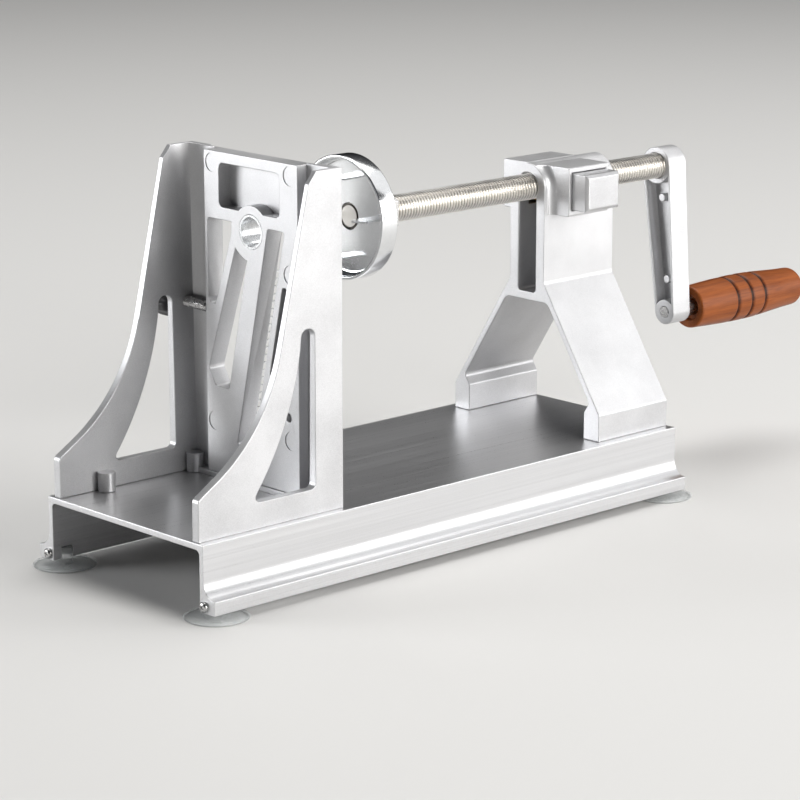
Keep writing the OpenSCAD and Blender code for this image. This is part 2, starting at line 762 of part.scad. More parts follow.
module lock_knob() {
    out = knob_d * 0.55;
    color("dimgray") difference() {
        rod_y(knob_y, knob_y + knob_t, knob_d / 2, lock_x, lock_h);
        rod_y(knob_y - past, knob_y + knob_t * 0.7 + slide_fit, lock_d / 2 + fit, lock_x, lock_h);
        for (i = [0:knob_flutes - 1]) {
            a = 360 * i / knob_flutes;
            rod_y(knob_y - past, knob_y + knob_t + past, flute_r, lock_x + out * cos(a), lock_h + out * sin(a));
        }
    }
}

// Bracket seen from the discharge end: y across, z up
module bracket_outline() {
    half = feet_w / 2;
    col = column_w / 2;
    foot_in = half - foot_w;
    lean = atan((half - col) / (fold_h - foot_h));
    inner = leg_t / cos(lean);
    arch_y = col - inner + (fold_h - arch_h) * tan(lean);
    ledge = foot_h + (foot_w - inner) * 0.75;
    ledge_y = half - inner - (ledge - foot_h) * tan(lean);
    right = [
        [half, 0, 0], [half, foot_h, 2], [col, fold_h, 4], [col, rod_h, 0]
    ];
    inside = [
        [arch_y, arch_h, 5], [ledge_y, ledge, 3], [foot_in, foot_h, 2], [foot_in, 0, 0]
    ];
    translate([0, deck_z]) polygon(outline(concat(
        right, [for (i = [3:-1:0]) [-right[i][0], right[i][1], right[i][2]]],
        [for (i = [3:-1:0]) [-inside[i][0], inside[i][1], inside[i][2]]], inside
    ), 6));
}

// Slot up the column that opens into the rod's bore
module column_slot() {
    half = column_slot_w / 2;
    z0 = deck_z + arch_h + crossbar_t;
    polygon(outline([[-half, z0, 2], [half, z0, 2], [half, axis_z, 0], [-half, axis_z, 0]]));
}

module housing_block(x0, x1, y0, y1, r, drop = 0) {
    along_x(x0, x1) translate([0, axis_z - drop]) polygon(outline([
        [y0, -housing_h, r], [y1, -housing_h, r], [y1, housing_h, r], [y0, housing_h, r]
    ]));
}

// Section of the cove before the near housing: out from the rod's axis, and along the rod
module cove_section() {
    r = column_w / 2;
    sink = 0.05;
    difference() {
        translate([r - past, -housing_cove]) square(housing_cove + past);
        translate([r + housing_cove - sink, sink - housing_cove]) circle(r = housing_cove);
    }
}

// The cove runs up the column, then over the round head to the top of the near housing
module head_cove() {
    reach = column_w / 2 + housing_cove + past;
    low = housing_h + housing_drop;
    translate([housing_x0, 0, axis_z - low]) linear_extrude(low) rotate(-90) cove_section();
    intersection() {
        translate([housing_x0, 0, axis_z]) rotate([0, 90, 0]) rotate_extrude() cove_section();
        translate([housing_x0 - housing_cove - past, -reach, axis_z])
            cube([housing_cove + 3 * past, reach, housing_h - housing_drop]);
    }
}

module rear_bracket() {
    housing_x1 = housing_x0 + housing_l;
    color("whitesmoke") difference() {
        union() {
            along_x(bracket_x0, bracket_x1) bracket_outline();
            rod_x(bracket_x0, bracket_x1, column_w / 2);
            housing_block(bracket_x0 + head_step, housing_x1, 0, housing_far, 1.5);
            housing_block(housing_x0, housing_x1, -housing_near, 0, 1.2, housing_drop);
            head_cove();
        }
        along_x(bracket_x0 - past, bracket_x1 + past) column_slot();
        rod_x(bracket_x0 - past, bracket_x1 + past, rod_r + fit);
        for (end = [[bracket_x0 - past, bore_lead + past, 0], [bracket_x1 - bore_lead, 0, bore_lead + past]]) {
            translate([end[0], 0, axis_z]) rotate([0, 90, 0])
                cylinder(h = bore_lead + past, r1 = rod_r + fit + end[1], r2 = rod_r + fit + end[2]);
        }
        // Guide for the button and the half nut, closed at the far end
        guide_l = button_l + 2 * slide_fit;
        guide_h = button_h + 2 * slide_fit;
        translate([button_x - guide_l / 2, -housing_near - past, button_z - guide_h / 2])
            cube([guide_l, housing_near + past + housing_far - housing_wall, guide_h]);
        for (x = bracket_screw_xs, side = [-1, 1]) {
            translate([x, side * bracket_screw_y, deck_z - past])
                cylinder(h = bracket_screw_l - deck_t + 2 * past, d = bracket_screw_d + 2 * screw_fit);
        }
    }
}

module bracket_screws() {
    color("silver") for (x = bracket_screw_xs, side = [-1, 1]) {
        translate([x, side * bracket_screw_y, deck_z - deck_t]) pan_screw(bracket_screw_d, bracket_screw_l);
    }
}

module release_button() {
    face = -housing_near - button_out;
    bev = button_bevel;
    color("gainsboro") intersection() {
        along_y(face, nut_y0) translate([button_x, button_z])
            square([button_l, button_h], center = true);
        along_x(button_x - button_l, button_x + button_l) polygon([
            [nut_y0, button_z - button_h / 2], [face + bev, button_z - button_h / 2],
            [face, button_z - button_h / 2 + bev], [face, button_z + button_h / 2 - bev],
            [face + bev, button_z + button_h / 2], [nut_y0, button_z + button_h / 2]
        ]);
        translate([0, 0, button_z - button_h]) linear_extrude(2 * button_h) polygon([
            [button_x - button_l / 2, nut_y0], [button_x - button_l / 2, face + bev],
            [button_x - button_l / 2 + bev, face], [button_x + button_l / 2 - bev, face],
            [button_x + button_l / 2, face + bev], [button_x + button_l / 2, nut_y0]
        ]);
    }
}

module half_nut() {
    room = button_travel + slide_fit;
    color("goldenrod") difference() {
        translate([button_x - button_l / 2, nut_y0, axis_z - nut_h / 2])
            cube([button_l, nut_y1 - nut_y0, nut_h]);
        rod_x(button_x - button_l, button_x + button_l, rod_r + fit);
        translate([button_x - button_l, -room, axis_z - rod_r - fit])
            cube([2 * button_l, room, rod_d + 2 * fit]);
        rod_x(button_x - button_l, button_x + button_l, rod_r + fit, -room);
    }
}

// Wire along a helix, as rings of points joined by triangles
module wire_helix(l, d, wire, turns, rings = 8, sides = 6) {
    n = ceil(turns * rings);
    r = (d - wire) / 2;
    lift = l - wire;
    slope = atan(lift / (turns * 2 * PI * r));
    pts = [for (i = [0:n], k = [0:sides - 1]) let(
        a = 360 * turns * i / n,
        b = 360 * k / sides,
        out = r + wire / 2 * cos(b),
        along = wire / 2 * sin(b)
    ) [
        out * cos(a) + along * sin(slope) * sin(a),
        out * sin(a) - along * sin(slope) * cos(a),
        wire / 2 + lift * i / n + along * cos(slope)
    ]];
    walls = [for (i = [0:n - 1], k = [0:sides - 1]) let(
        p = i * sides + k,
        q = i * sides + (k + 1) % sides
    ) each [[p, q + sides, q], [p, p + sides, q + sides]]];
    ends = [for (k = [1:sides - 2]) each [[0, k, k + 1], [n * sides, n * sides + k + 1, n * sides + k]]];
    gap = min([for (k = [0:sides - 1], m = [0:sides - 1]) norm(pts[k] - pts[rings * sides + m])]);
    echo("least gap between the spring's turns", gap);
    polyhedron(points = pts, faces = concat(walls, ends), convexity = 6);
}

module release_spring() {
    color("silver") translate([button_x, nut_y1, axis_z]) rotate([-90, 0, 0])
        wire_helix(spring_l, spring_d, spring_wire, spring_turns);
}

module threaded_rod() {
    color("lightgray") difference() {
        rod_x(cup_floor_x, rod_end, rod_r);
        rod_x(rod_end - crank_screw_l, rod_end + past, crank_screw_d / 2 + screw_fit);
    }
}

module pusher_cup() {
    r = pusher_d / 2;
    edge = 0.6;
    color("silver") difference() {
        translate([cup_rim_x, 0, axis_z]) rotate([0, 90, 0]) rotate_extrude($fn = 128) polygon([
            [rod_r + screw_fit, pusher_l - pusher_floor], [r - pusher_rim, pusher_l - pusher_floor],
            [r - pusher_rim, edge], [r - pusher_rim + edge, 0], [r - edge, 0], [r, edge],
            [r, pusher_l - edge], [r - edge, pusher_l], [pusher_hub[0] / 2, pusher_l],
            [pusher_hub[0] / 2, pusher_l + pusher_hub[1]], [rod_r + screw_fit, pusher_l + pusher_hub[1]]
        ]);
    }
}

module pusher_prongs() {
    tip = prong[0] * 0.25;
    color("silver") for (p = [[0, prong_r], [0, -prong_r], [prong_side, 0], [-prong_side, 0]]) {
        translate([cup_floor_x, p[0], axis_z + p[1] - prong[1] / 2]) linear_extrude(prong[1]) polygon([
            [0, -prong[0] / 2], [0, prong[0] / 2], [-prong[2] + tip, prong[0] / 2],
            [-prong[2], prong[0] / 2 - tip], [-prong[2] * 0.7, -prong[0] / 2]
        ]);
    }
}

module loose_washer() {
    color("silver") difference() {
        rod_x(hub_x + fit, hub_x + fit + washer_t, washer_d / 2);
        rod_x(hub_x - past, nut_x + past, rod_r + fit);
    }
}

module pusher_nut() {
    color("silver") difference() {
        translate([nut_x, 0, axis_z]) rotate([0, 90, 0]) cylinder(h = nut_t, d = nut_af / cos(30), $fn = 6);
        rod_x(nut_x - past, nut_x + nut_t + past, rod_r + screw_fit);
    }
}

// Crank seen from the discharge end, hanging from the rod: y across, z down from the rod
module crank_outline(inset = 0) {
    a = asin((crank_top_r - crank_foot_r) / crank_l);
    top = crank_top_r - inset;
    foot = crank_foot_r - inset;
    side = 0.03;
    circle(r = top);
    translate([0, -crank_l]) circle(r = foot);
    polygon([
        [(top - side) * cos(a), -top * sin(a)], [(foot - side) * cos(a), -crank_l - foot * sin(a)],
        [(side - foot) * cos(a), -crank_l - foot * sin(a)], [(side - top) * cos(a), -top * sin(a)]
    ]);
}

module in_crank_plane() {
    translate([0, axis_z]) rotate(-crank_tilt) children();
}

module crank_arm() {
    x1 = crank_x + crank_t;
    color("whitesmoke") difference() {
        union() {
            difference() {
                along_x(crank_x, x1) in_crank_plane() crank_outline();
                along_x(crank_x - past, crank_x + crank_recess) in_crank_plane() difference() {
                    crank_outline(crank_rim);
                    circle(r = crank_top_r);
                    translate([0, -crank_l]) circle(r = crank_foot_r);
                }
            }
            along_x(crank_x + crank_recess - crank_lug[1], x1 - past) in_crank_plane() {
                for (q = crank_lugs) {
                    translate([0, -q]) circle(r = crank_lug[0]);
                }
            }
        }
        rod_x(crank_x - past, rod_end, rod_r + screw_fit);
        rod_x(rod_end - past, x1 + past, crank_screw_d / 2 + screw_fit);
        translate([x1 - crank_screw_d / 2, 0, axis_z]) rotate([0, 90, 0])
            cylinder(h = crank_screw_d / 2, r1 = crank_screw_d / 2 + screw_fit, r2 = crank_screw_d + screw_fit);
        rod_x(crank_x - past, x1 + past, bolt_d / 2 + screw_fit, foot_y, foot_z);
    }
}

module crank_screw() {
    x1 = crank_x + crank_t;
    color("silver") {
        rod_x(rod_end - crank_screw_l + past, x1, crank_screw_d / 2);
        translate([x1 - crank_screw_d / 2, 0, axis_z]) rotate([0, 90, 0])
            cylinder(h = crank_screw_d / 2, r1 = crank_screw_d / 2, r2 = crank_screw_d);
    }
}

module grip_spacer() {
    color("silver") difference() {
        rod_x(crank_x + crank_t, spacer_x1, spacer_d / 2, foot_y, foot_z);
        rod_x(crank_x, spacer_x1 + past, bolt_d / 2 + screw_fit, foot_y, foot_z);
    }
}

module grip_bolt() {
    color("silver") {
        rod_x(crank_x, head_x + slide_fit, bolt_d / 2, foot_y, foot_z);
        rod_x(head_x + slide_fit, head_x + slide_fit + bolt_head[1], bolt_head[0] / 2, foot_y, foot_z);
    }
}

// Radius of the turned grip at a share t of its length: a barrel with rounded ends
function grip_r(t) = let(
    body = t < 0.45 ? grip_d0 + (grip_d1 - grip_d0) * sin(200 * t)
        : grip_d2 + (grip_d1 - grip_d2) * (0.5 + 0.5 * cos(180 * (t - 0.45) / 0.55)),
    end = t > 0.94 ? sqrt(max(0, 1 - pow((t - 0.94) / 0.075, 2))) : 1
) body * end / 2;

module handle_grip() {
    steps = 40;
    groove_x = grip_l * 0.33;
    bevel = 1.4;
    bore = bolt_d / 2 + fit;
    profile = concat(
        [[grip_d0 / 2 - bevel, 0]],
        [for (i = [1:steps]) [grip_r(i / steps), max(bevel, grip_l * i / steps)]]
    );
    color("sienna") translate([grip_x, foot_y, foot_z]) rotate([0, 90, 0]) difference() {
        rotate_extrude($fn = 96) polygon(concat([[bore, 0]], profile, [[bore, grip_l]]));
        translate([0, 0, -past]) cylinder(h = past + grip_recess[0], d = recess_d);
        translate([0, 0, grip_l - grip_recess[1]])
            cylinder(h = grip_recess[1] + past, d = bolt_head[0] + 2 * slide_fit);
        for (i = [0:1:groove_n - 1]) {
            z = groove_x + i * groove_pitch;
            translate([0, 0, z]) rotate_extrude($fn = 96)
                translate([grip_r(z / grip_l) + groove_h * 0.3, 0]) circle(r = groove_h * 1.3, $fn = 16);
        }
    }
}

base_channel();
suction_cup_front_near();
suction_cup_front_far();
suction_cup_rear_near();
suction_cup_rear_far();
cup_screws();
blade_frame();
frame_screws();
blade_plate();
coring_tube();
slicing_blade();
scoring_comb();
blade_screws();
lock_screw();
lock_knob();
rear_bracket();
bracket_screws();
release_button();
half_nut();
release_spring();
threaded_rod();
pusher_cup();
pusher_prongs();
loose_washer();
pusher_nut();
crank_arm();
crank_screw();
grip_spacer();
grip_bolt();
handle_grip();
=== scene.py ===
import math

import bmesh
import bpy
from mathutils import Matrix, Vector
from mathutils.geometry import intersect_line_line_2d, intersect_point_line


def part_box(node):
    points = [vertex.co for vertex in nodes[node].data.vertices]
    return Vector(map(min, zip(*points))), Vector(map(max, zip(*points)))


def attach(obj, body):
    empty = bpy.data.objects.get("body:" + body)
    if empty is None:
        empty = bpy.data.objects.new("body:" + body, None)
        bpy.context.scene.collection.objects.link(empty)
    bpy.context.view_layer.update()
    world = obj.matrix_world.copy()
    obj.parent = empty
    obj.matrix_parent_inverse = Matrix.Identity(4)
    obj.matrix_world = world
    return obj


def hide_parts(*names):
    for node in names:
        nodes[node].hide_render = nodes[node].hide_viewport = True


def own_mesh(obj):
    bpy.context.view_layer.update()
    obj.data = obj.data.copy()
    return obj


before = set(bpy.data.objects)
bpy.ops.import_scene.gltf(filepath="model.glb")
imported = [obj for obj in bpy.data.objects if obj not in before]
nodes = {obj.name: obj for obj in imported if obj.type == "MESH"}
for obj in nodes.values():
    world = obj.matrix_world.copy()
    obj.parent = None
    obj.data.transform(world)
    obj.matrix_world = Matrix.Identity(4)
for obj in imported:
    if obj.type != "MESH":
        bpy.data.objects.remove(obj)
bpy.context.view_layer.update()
mm = 0.001
weld = 2e-6  # points closer than this are one
print("frame loaded:", len(nodes), "nodes")


# camera and studio

cameraSettings = {
    "place": (-1.0322, -1.1192, 0.4407), "target": (0.05724, 0.04224, 0.05188),
    "lens": 137.0, "sensor": 36.0, "reach": 50.0,
}
studio = {
    "floorReach": 9.0,
    "floorColour": (0.66, 0.655, 0.645, 1),
    "floorRough": 0.7,
    "horizon": (0.02, 0.02, 0.022, 1),
    "zenith": (0.25, 0.26, 0.28, 1),
    "fade": (0.12, 0.75),  # dark below the first height, fully lit above the second
    "sky": 0.2,
    "aim": (0.02, 0.0, 0.1),
    "boxes": [
        # name, place, size, energy, colour
        ("topBox", (0.8, 0.6, 3.2), 2.4, 80, (1.0, 0.99, 0.97)),
        ("keyBox", (0.3, -2.6, 0.8), 1.4, 74, (1.0, 0.99, 0.97)),
        ("nearBox", (1.9, -1.66, 0.6), 1.4, 25, (1.0, 1.0, 1.0)),
        ("highBox", (1.66, -0.58, 1.8), 1.8, 10, (1.0, 1.0, 1.0)),
        ("leftBox", (-1.9, 1.7, 0.55), 1.2, 42, (0.98, 0.99, 1.0)),
    ],
}


def aim(obj, target):
    obj.rotation_mode = "QUATERNION"
    obj.rotation_quaternion = (Vector(target) - obj.location).to_track_quat("-Z", "Y")


def addCamera():
    data = bpy.data.cameras.new("photoCamera")
    data.lens = cameraSettings["lens"]
    data.sensor_width = cameraSettings["sensor"]
    data.clip_end = cameraSettings["reach"]
    camera = bpy.data.objects.new("photoCamera", data)
    camera.location = cameraSettings["place"]
    aim(camera, cameraSettings["target"])
    bpy.context.scene.collection.objects.link(camera)
    bpy.context.scene.camera = camera


def addStudio():
    mesh = bpy.data.meshes.new("floor")
    r = studio["floorReach"]
    mesh.from_pydata([(-r, -r, 0), (r, -r, 0), (r, r, 0), (-r, r, 0)], [], [(0, 1, 2, 3)])
    floor = bpy.data.objects.new("floor", mesh)
    bpy.context.scene.collection.objects.link(floor)
    paper = bpy.data.materials.new("paleFloor")
    paper.use_nodes = True
    shader = paper.node_tree.nodes["Principled BSDF"]
    shader.inputs["Base Color"].default_value = studio["floorColour"]
    shader.inputs["Roughness"].default_value = studio["floorRough"]
    mesh.materials.append(paper)

    world = bpy.data.worlds.new("studio")
    bpy.context.scene.world = world
    world.use_nodes = True
    tree = world.node_tree
    coords = tree.nodes.new("ShaderNodeTexCoord")
    split = tree.nodes.new("ShaderNodeSeparateXYZ")
    ramp = tree.nodes.new("ShaderNodeValToRGB")
    low, high = ramp.color_ramp.elements
    low.position, high.position = studio["fade"]
    low.color, high.color = studio["horizon"], studio["zenith"]
    tree.links.new(coords.outputs["Generated"], split.inputs[0])
    tree.links.new(split.outputs["Z"], ramp.inputs[0])
    tree.links.new(ramp.outputs[0], tree.nodes["Background"].inputs[0])
    tree.nodes["Background"].inputs[1].default_value = studio["sky"]

    for name, place, size, energy, colour in studio["boxes"]:
        light = bpy.data.lights.new(name, "AREA")
        light.size = size
        light.energy = energy
        light.color = colour
        obj = bpy.data.objects.new(name, light)
        obj.location = place
        aim(obj, studio["aim"])
        bpy.context.scene.collection.objects.link(obj)
    bpy.context.scene.view_settings.view_transform = "Standard"


addCamera()
addStudio()
print("studio ready")


# finishes

def finish(name):
    material = bpy.data.materials.new(name)
    material.use_nodes = True
    return material, material.node_tree, material.node_tree.nodes["Principled BSDF"]


def objectCoords(tree, scale):
    coords = tree.nodes.new("ShaderNodeTexCoord")
    mapping = tree.nodes.new("ShaderNodeMapping")
    mapping.inputs["Scale"].default_value = scale
    tree.links.new(coords.outputs["Object"], mapping.inputs["Vector"])
    return mapping.outputs["Vector"]


# the scale is one number, or one for each direction
def noise(tree, scale, detail, rough):
    even = not isinstance(scale, tuple)
    node = tree.nodes.new("ShaderNodeTexNoise")
    node.inputs["Scale"].default_value = scale if even else 1.0
    node.inputs["Detail"].default_value = detail
    node.inputs["Roughness"].default_value = rough
    tree.links.new(objectCoords(tree, (1, 1, 1) if even else scale), node.inputs["Vector"])
    return node.outputs["Fac"]


def colours(tree, fac, stops):
    ramp = tree.nodes.new("ShaderNodeValToRGB")
    elements = ramp.color_ramp.elements
    while len(elements) < len(stops):
        elements.new(0.5)
    for element, (place, colour) in zip(elements, stops):
        element.position = place
        element.color = (*colour, 1)
    tree.links.new(fac, ramp.inputs[0])
    return ramp.outputs[0]


# most of a noise lies between 0.3 and 0.7
def span(tree, fac, low, high, fromLow=0.3, fromHigh=0.7):
    node = tree.nodes.new("ShaderNodeMapRange")
    node.inputs["From Min"].default_value = fromLow
    node.inputs["From Max"].default_value = fromHigh
    node.inputs["To Min"].default_value = low
    node.inputs["To Max"].default_value = high
    tree.links.new(fac, node.inputs["Value"])
    return node.outputs["Result"]


def bump(tree, shader, height, strength, depth):
    node = tree.nodes.new("ShaderNodeBump")
    node.inputs["Strength"].default_value = strength
    node.inputs["Distance"].default_value = depth
    tree.links.new(height, node.inputs["Height"])
    tree.links.new(node.outputs["Normal"], shader.inputs["Normal"])


def mixed(tree, first, second, share):
    node = tree.nodes.new("ShaderNodeMix")
    node.data_type = "FLOAT"
    node.inputs["Factor"].default_value = share
    tree.links.new(first, node.inputs["A"])
    tree.links.new(second, node.inputs["B"])
    return node.outputs["Result"]


# colour, roughness and fine relief, each after a pattern
def dress(tree, shader, settings, tint, rough, relief=None):
    tree.links.new(colours(tree, tint, settings["tint"]), shader.inputs["Base Color"])
    tree.links.new(span(tree, rough, *settings["rough"]), shader.inputs["Roughness"])
    if relief is not None:
        bump(tree, shader, relief, *settings["bump"])


# in the settings of a finish, a pattern is its scale, detail and roughness, a tint the place and colour
# of each stop, rough the lowest and highest value, and bump the strength and depth

# sand-grained silver coat on the die castings, and a satin one on the button
castSettings = {
    "grain": (2600, 2.0, 0.6), "cloud": (35, 4.0, 0.55), "cloudShare": 0.45,
    "tint": ((0.32, (0.47, 0.47, 0.48)), (0.62, (0.61, 0.61, 0.62))),
    "metallic": 0.7, "rough": (0.36, 0.50), "bump": (0.22, 0.12 * mm),
}
buttonSettings = {
    **castSettings, "cloud": (60, 4.0, 0.55), "rough": (0.30, 0.42),
    "tint": ((0.32, (0.44, 0.44, 0.45)), (0.62, (0.56, 0.56, 0.57))),
}


def castSilver(name, settings):
    material, tree, shader = finish(name)
    grain = noise(tree, *settings["grain"])
    both = mixed(tree, grain, noise(tree, *settings["cloud"]), settings["cloudShare"])
    shader.inputs["Metallic"].default_value = settings["metallic"]
    dress(tree, shader, settings, both, both, grain)
    return material


# drawn lines along the extrusion
anodisedSettings = {
    "lines": ((4, 900, 900), 3.0, 0.6), "grain": (2200, 2.0, 0.6), "grainShare": 0.5,
    "tint": ((0.35, (0.60, 0.60, 0.61)), (0.65, (0.70, 0.70, 0.71))),
    "metallic": 0.9, "rough": (0.26, 0.40), "bump": (0.12, 0.08 * mm),
}


def anodisedAluminium(settings):
    material, tree, shader = finish("anodisedAluminium")
    lines = noise(tree, *settings["lines"])
    both = mixed(tree, lines, noise(tree, *settings["grain"]), settings["grainShare"])
    shader.inputs["Metallic"].default_value = settings["metallic"]
    dress(tree, shader, settings, both, both, both)
    return material


# bare metals: fine marks by direction, and broad smudges
metalSettings = {
    "zincSteel": {
        "marks": ((900, 900, 900), 3.0, 0.6), "smudge": (40, 4.0, 0.6), "smudgeShare": 0.5,
        "tint": ((0.3, (0.50, 0.50, 0.50)), (0.7, (0.68, 0.67, 0.66))),
        "rough": (0.20, 0.34), "bump": (0.08, 0.05 * mm)},
    "groundSteel": {
        "marks": ((1400, 1400, 60), 3.0, 0.6), "smudge": (40, 4.0, 0.6), "smudgeShare": 0.5,
        "tint": ((0.3, (0.52, 0.53, 0.54)), (0.7, (0.70, 0.71, 0.72))),
        "rough": (0.22, 0.34), "bump": (0.08, 0.05 * mm)},
    "polishedChrome": {
        "marks": ((700, 700, 700), 3.0, 0.6), "smudge": (60, 4.0, 0.6), "smudgeShare": 0.5,
        "tint": ((0.3, (0.76, 0.77, 0.78)), (0.7, (0.86, 0.87, 0.88))),
        "rough": (0.12, 0.20), "bump": (0.02, 0.05 * mm)},
    "machinedBronze": {
        "marks": ((600, 1500, 1500), 3.0, 0.6), "smudge": (40, 4.0, 0.6), "smudgeShare": 0.5,
        "tint": ((0.3, (0.34, 0.20, 0.06)), (0.7, (0.50, 0.32, 0.12))),
        "rough": (0.28, 0.42), "bump": (0.08, 0.05 * mm)},
}


def plainMetal(name):
    settings = metalSettings[name]
    material, tree, shader = finish(name)
    marks = noise(tree, *settings["marks"])
    both = mixed(tree, marks, noise(tree, *settings["smudge"]), settings["smudgeShare"])
    shader.inputs["Metallic"].default_value = 1.0
    dress(tree, shader, settings, both, both, marks)
    return material


# painted shade in the thread roots and a painted highlight on the crests, from the distance to the rod's
# axis
rodSettings = {
    "depth": (5.0 * mm, 7.0 * mm), "smudge": (60, 4.0, 0.6), "smudgeShare": 0.12, "rough": (0.28, 0.38),
    "tint": (
        (0.22, (0.60, 0.58, 0.55)),  # end faces
        # the root stops are painted shade, and the crest stop is a painted highlight
        (0.36, (0.09, 0.08, 0.07)), (0.46, (0.09, 0.08, 0.07)),  # roots
        (0.64, (0.62, 0.59, 0.55)), (0.84, (0.95, 0.92, 0.87)),  # flanks and crests
    ),
}


def threadSteel(settings):
    material, tree, shader = finish("rodSteel")
    low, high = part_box("threaded_rod")
    shifted = tree.nodes.new("ShaderNodeMapping")
    shifted.vector_type = "TEXTURE"
    shifted.inputs["Location"].default_value = (0, (low.y + high.y) / 2, (low.z + high.z) / 2)
    tree.links.new(objectCoords(tree, (0, 1, 1)), shifted.inputs["Vector"])
    away = tree.nodes.new("ShaderNodeVectorMath")
    away.operation = "LENGTH"
    tree.links.new(shifted.outputs["Vector"], away.inputs[0])
    # how far out from the root a point lies, which places the painted shade and highlight
    depth = span(tree, away.outputs["Value"], 0.0, 1.0, *settings["depth"])
    smudge = noise(tree, *settings["smudge"])
    shader.inputs["Metallic"].default_value = 1.0
    dress(tree, shader, settings, mixed(tree, depth, smudge, settings["smudgeShare"]), smudge)
    return material


# soft clear suction cups
vinylSettings = {
    "cloud": (120, 3.0, 0.5), "tint": ((0.3, (0.68, 0.71, 0.71)), (0.7, (0.78, 0.81, 0.81))),
    "ior": 1.48, "alpha": 0.34, "rough": (0.08, 0.22), "bump": (0.05, 0.2 * mm),
}


def clearVinyl(settings):
    material, tree, shader = finish("clearVinyl")
    cloud = noise(tree, *settings["cloud"])
    shader.inputs["IOR"].default_value = settings["ior"]
    shader.inputs["Alpha"].default_value = settings["alpha"]
    dress(tree, shader, settings, cloud, cloud, cloud)
    return material


# matt moulded knob
plasticSettings = {
    "grain": (1800, 3.0, 0.6), "tint": ((0.3, (0.014, 0.014, 0.015)), (0.7, (0.028, 0.028, 0.030))),
    "rough": (0.42, 0.60), "bump": (0.2, 0.1 * mm),
}


def blackPlastic(settings):
    material, tree, shader = finish("blackPlastic")
    grain = noise(tree, *settings["grain"])
    dress(tree, shader, settings, grain, grain, grain)
    return material


# grain along the grip, under a clear lacquer; the mesh says where the turned grooves are, and the grooves
# get painted shade
woodSettings = {
    "grain": ((12, 260, 260), 5.0, 0.6), "pores": ((55, 1500, 1500), 2.0, 0.6), "poreShare": 0.3,
    "tint": (
        # the lowest stop is painted shade in the turned grooves
        (0.12, (0.022, 0.005, 0.001)),  # grooves
        (0.30, (0.112, 0.026, 0.006)), (0.47, (0.205, 0.052, 0.010)), (0.66, (0.28, 0.078, 0.017)),
    ),
    "grooveShade": -0.42, "specular": 0.18, "coat": 0.09, "coatRough": 0.16,
    "rough": (0.42, 0.54), "bump": (0.10, 0.3 * mm),
}


def lacqueredWood(settings):
    material, tree, shader = finish("lacqueredWood")
    grain = noise(tree, *settings["grain"])
    both = mixed(tree, grain, noise(tree, *settings["pores"]), settings["poreShare"])
    # the groove mask pulls the tint down towards the lowest stop: painted shade in the grooves
    groove = tree.nodes.new("ShaderNodeAttribute")
    groove.attribute_name = "groove"
    shade = tree.nodes.new("ShaderNodeMath")
    shade.operation = "MULTIPLY_ADD"
    shade.inputs[1].default_value = settings["grooveShade"]
    tree.links.new(groove.outputs["Fac"], shade.inputs[0])
    tree.links.new(both, shade.inputs[2])
    shader.inputs["Specular IOR Level"].default_value = settings["specular"]
    shader.inputs["Coat Weight"].default_value = settings["coat"]
    shader.inputs["Coat Roughness"].default_value = settings["coatRough"]
    dress(tree, shader, settings, shade.outputs[0], both, both)
    return material


silver = castSilver("castSilver", castSettings)
buttonSatin = castSilver("buttonSatin", buttonSettings)
anodised = anodisedAluminium(anodisedSettings)
zincSteel = plainMetal("zincSteel")
rodSteel = threadSteel(rodSettings)
groundSteel = plainMetal("groundSteel")
chrome = plainMetal("polishedChrome")
bronze = plainMetal("machinedBronze")
vinyl = clearVinyl(vinylSettings)
plastic = blackPlastic(plasticSettings)
wood = lacqueredWood(woodSettings)
print("finishes ready")


# mesh helpers

def newObject(name, mesh, material=None):
    obj = bpy.data.objects.new(name, mesh)
    bpy.context.scene.collection.objects.link(obj)
    if material:
        mesh.materials.clear()
        mesh.materials.append(material)
    return obj


def smoothByAngle(mesh, degrees):
    mesh.polygons.foreach_set("use_smooth", [True] * len(mesh.polygons))
    mesh.set_sharp_from_angle(angle=math.radians(degrees))


def evaluated(obj, name):
    graph = bpy.context.evaluated_depsgraph_get()
    graph.update()
    mesh = bpy.data.meshes.new_from_object(obj.evaluated_get(graph))
    mesh.name = name
    return mesh


def settle(piece, body, slot, *replaced):
    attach(piece, body)
    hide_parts(*replaced)


# turned shape round local Z; a radius of zero is a pole
def lathe(name, profile, segments, turn, place):
    bm = bmesh.new()
    rings = []
    for radius, height in profile:
        if radius < 1e-7:
            rings.append([bm.verts.new((0, 0, height))])
            continue
        ring = []
        for i in range(segments):
            angle = 2 * math.pi * i / segments
            ring.append(bm.verts.new((radius * math.cos(angle), radius * math.sin(angle), height)))
        rings.append(ring)
    closed = len(rings[0]) > 1 and len(rings[-1]) > 1
    pairs = list(zip(rings, rings[1:] + rings[:1])) if closed else list(zip(rings, rings[1:]))
    for low, high in pairs:
        for i in range(segments):
            j = (i + 1) % segments
            if len(low) == 1:
                bm.faces.new((low[0], high[j], high[i]))
            elif len(high) == 1:
                bm.faces.new((low[i], low[j], high[0]))
            else:
                bm.faces.new((low[i], low[j], high[j], high[i]))
    bmesh.ops.recalc_face_normals(bm, faces=bm.faces)
    bm.transform(Matrix.Translation(place) @ turn)
    mesh = bpy.data.meshes.new(name)
    bm.to_mesh(mesh)
    bm.free()
    return mesh


def arc(centre, radius, start, end, steps):
    points = []
    for i in range(steps + 1):
        angle = math.radians(start + (end - start) * i / steps)
        points.append((centre[0] + radius * math.cos(angle), centre[1] + radius * math.sin(angle)))
    return points


alongX = Matrix.Rotation(math.pi / 2, 4, "Y")
alongY = Matrix.Rotation(-math.pi / 2, 4, "X")
upright = Matrix.Identity(4)


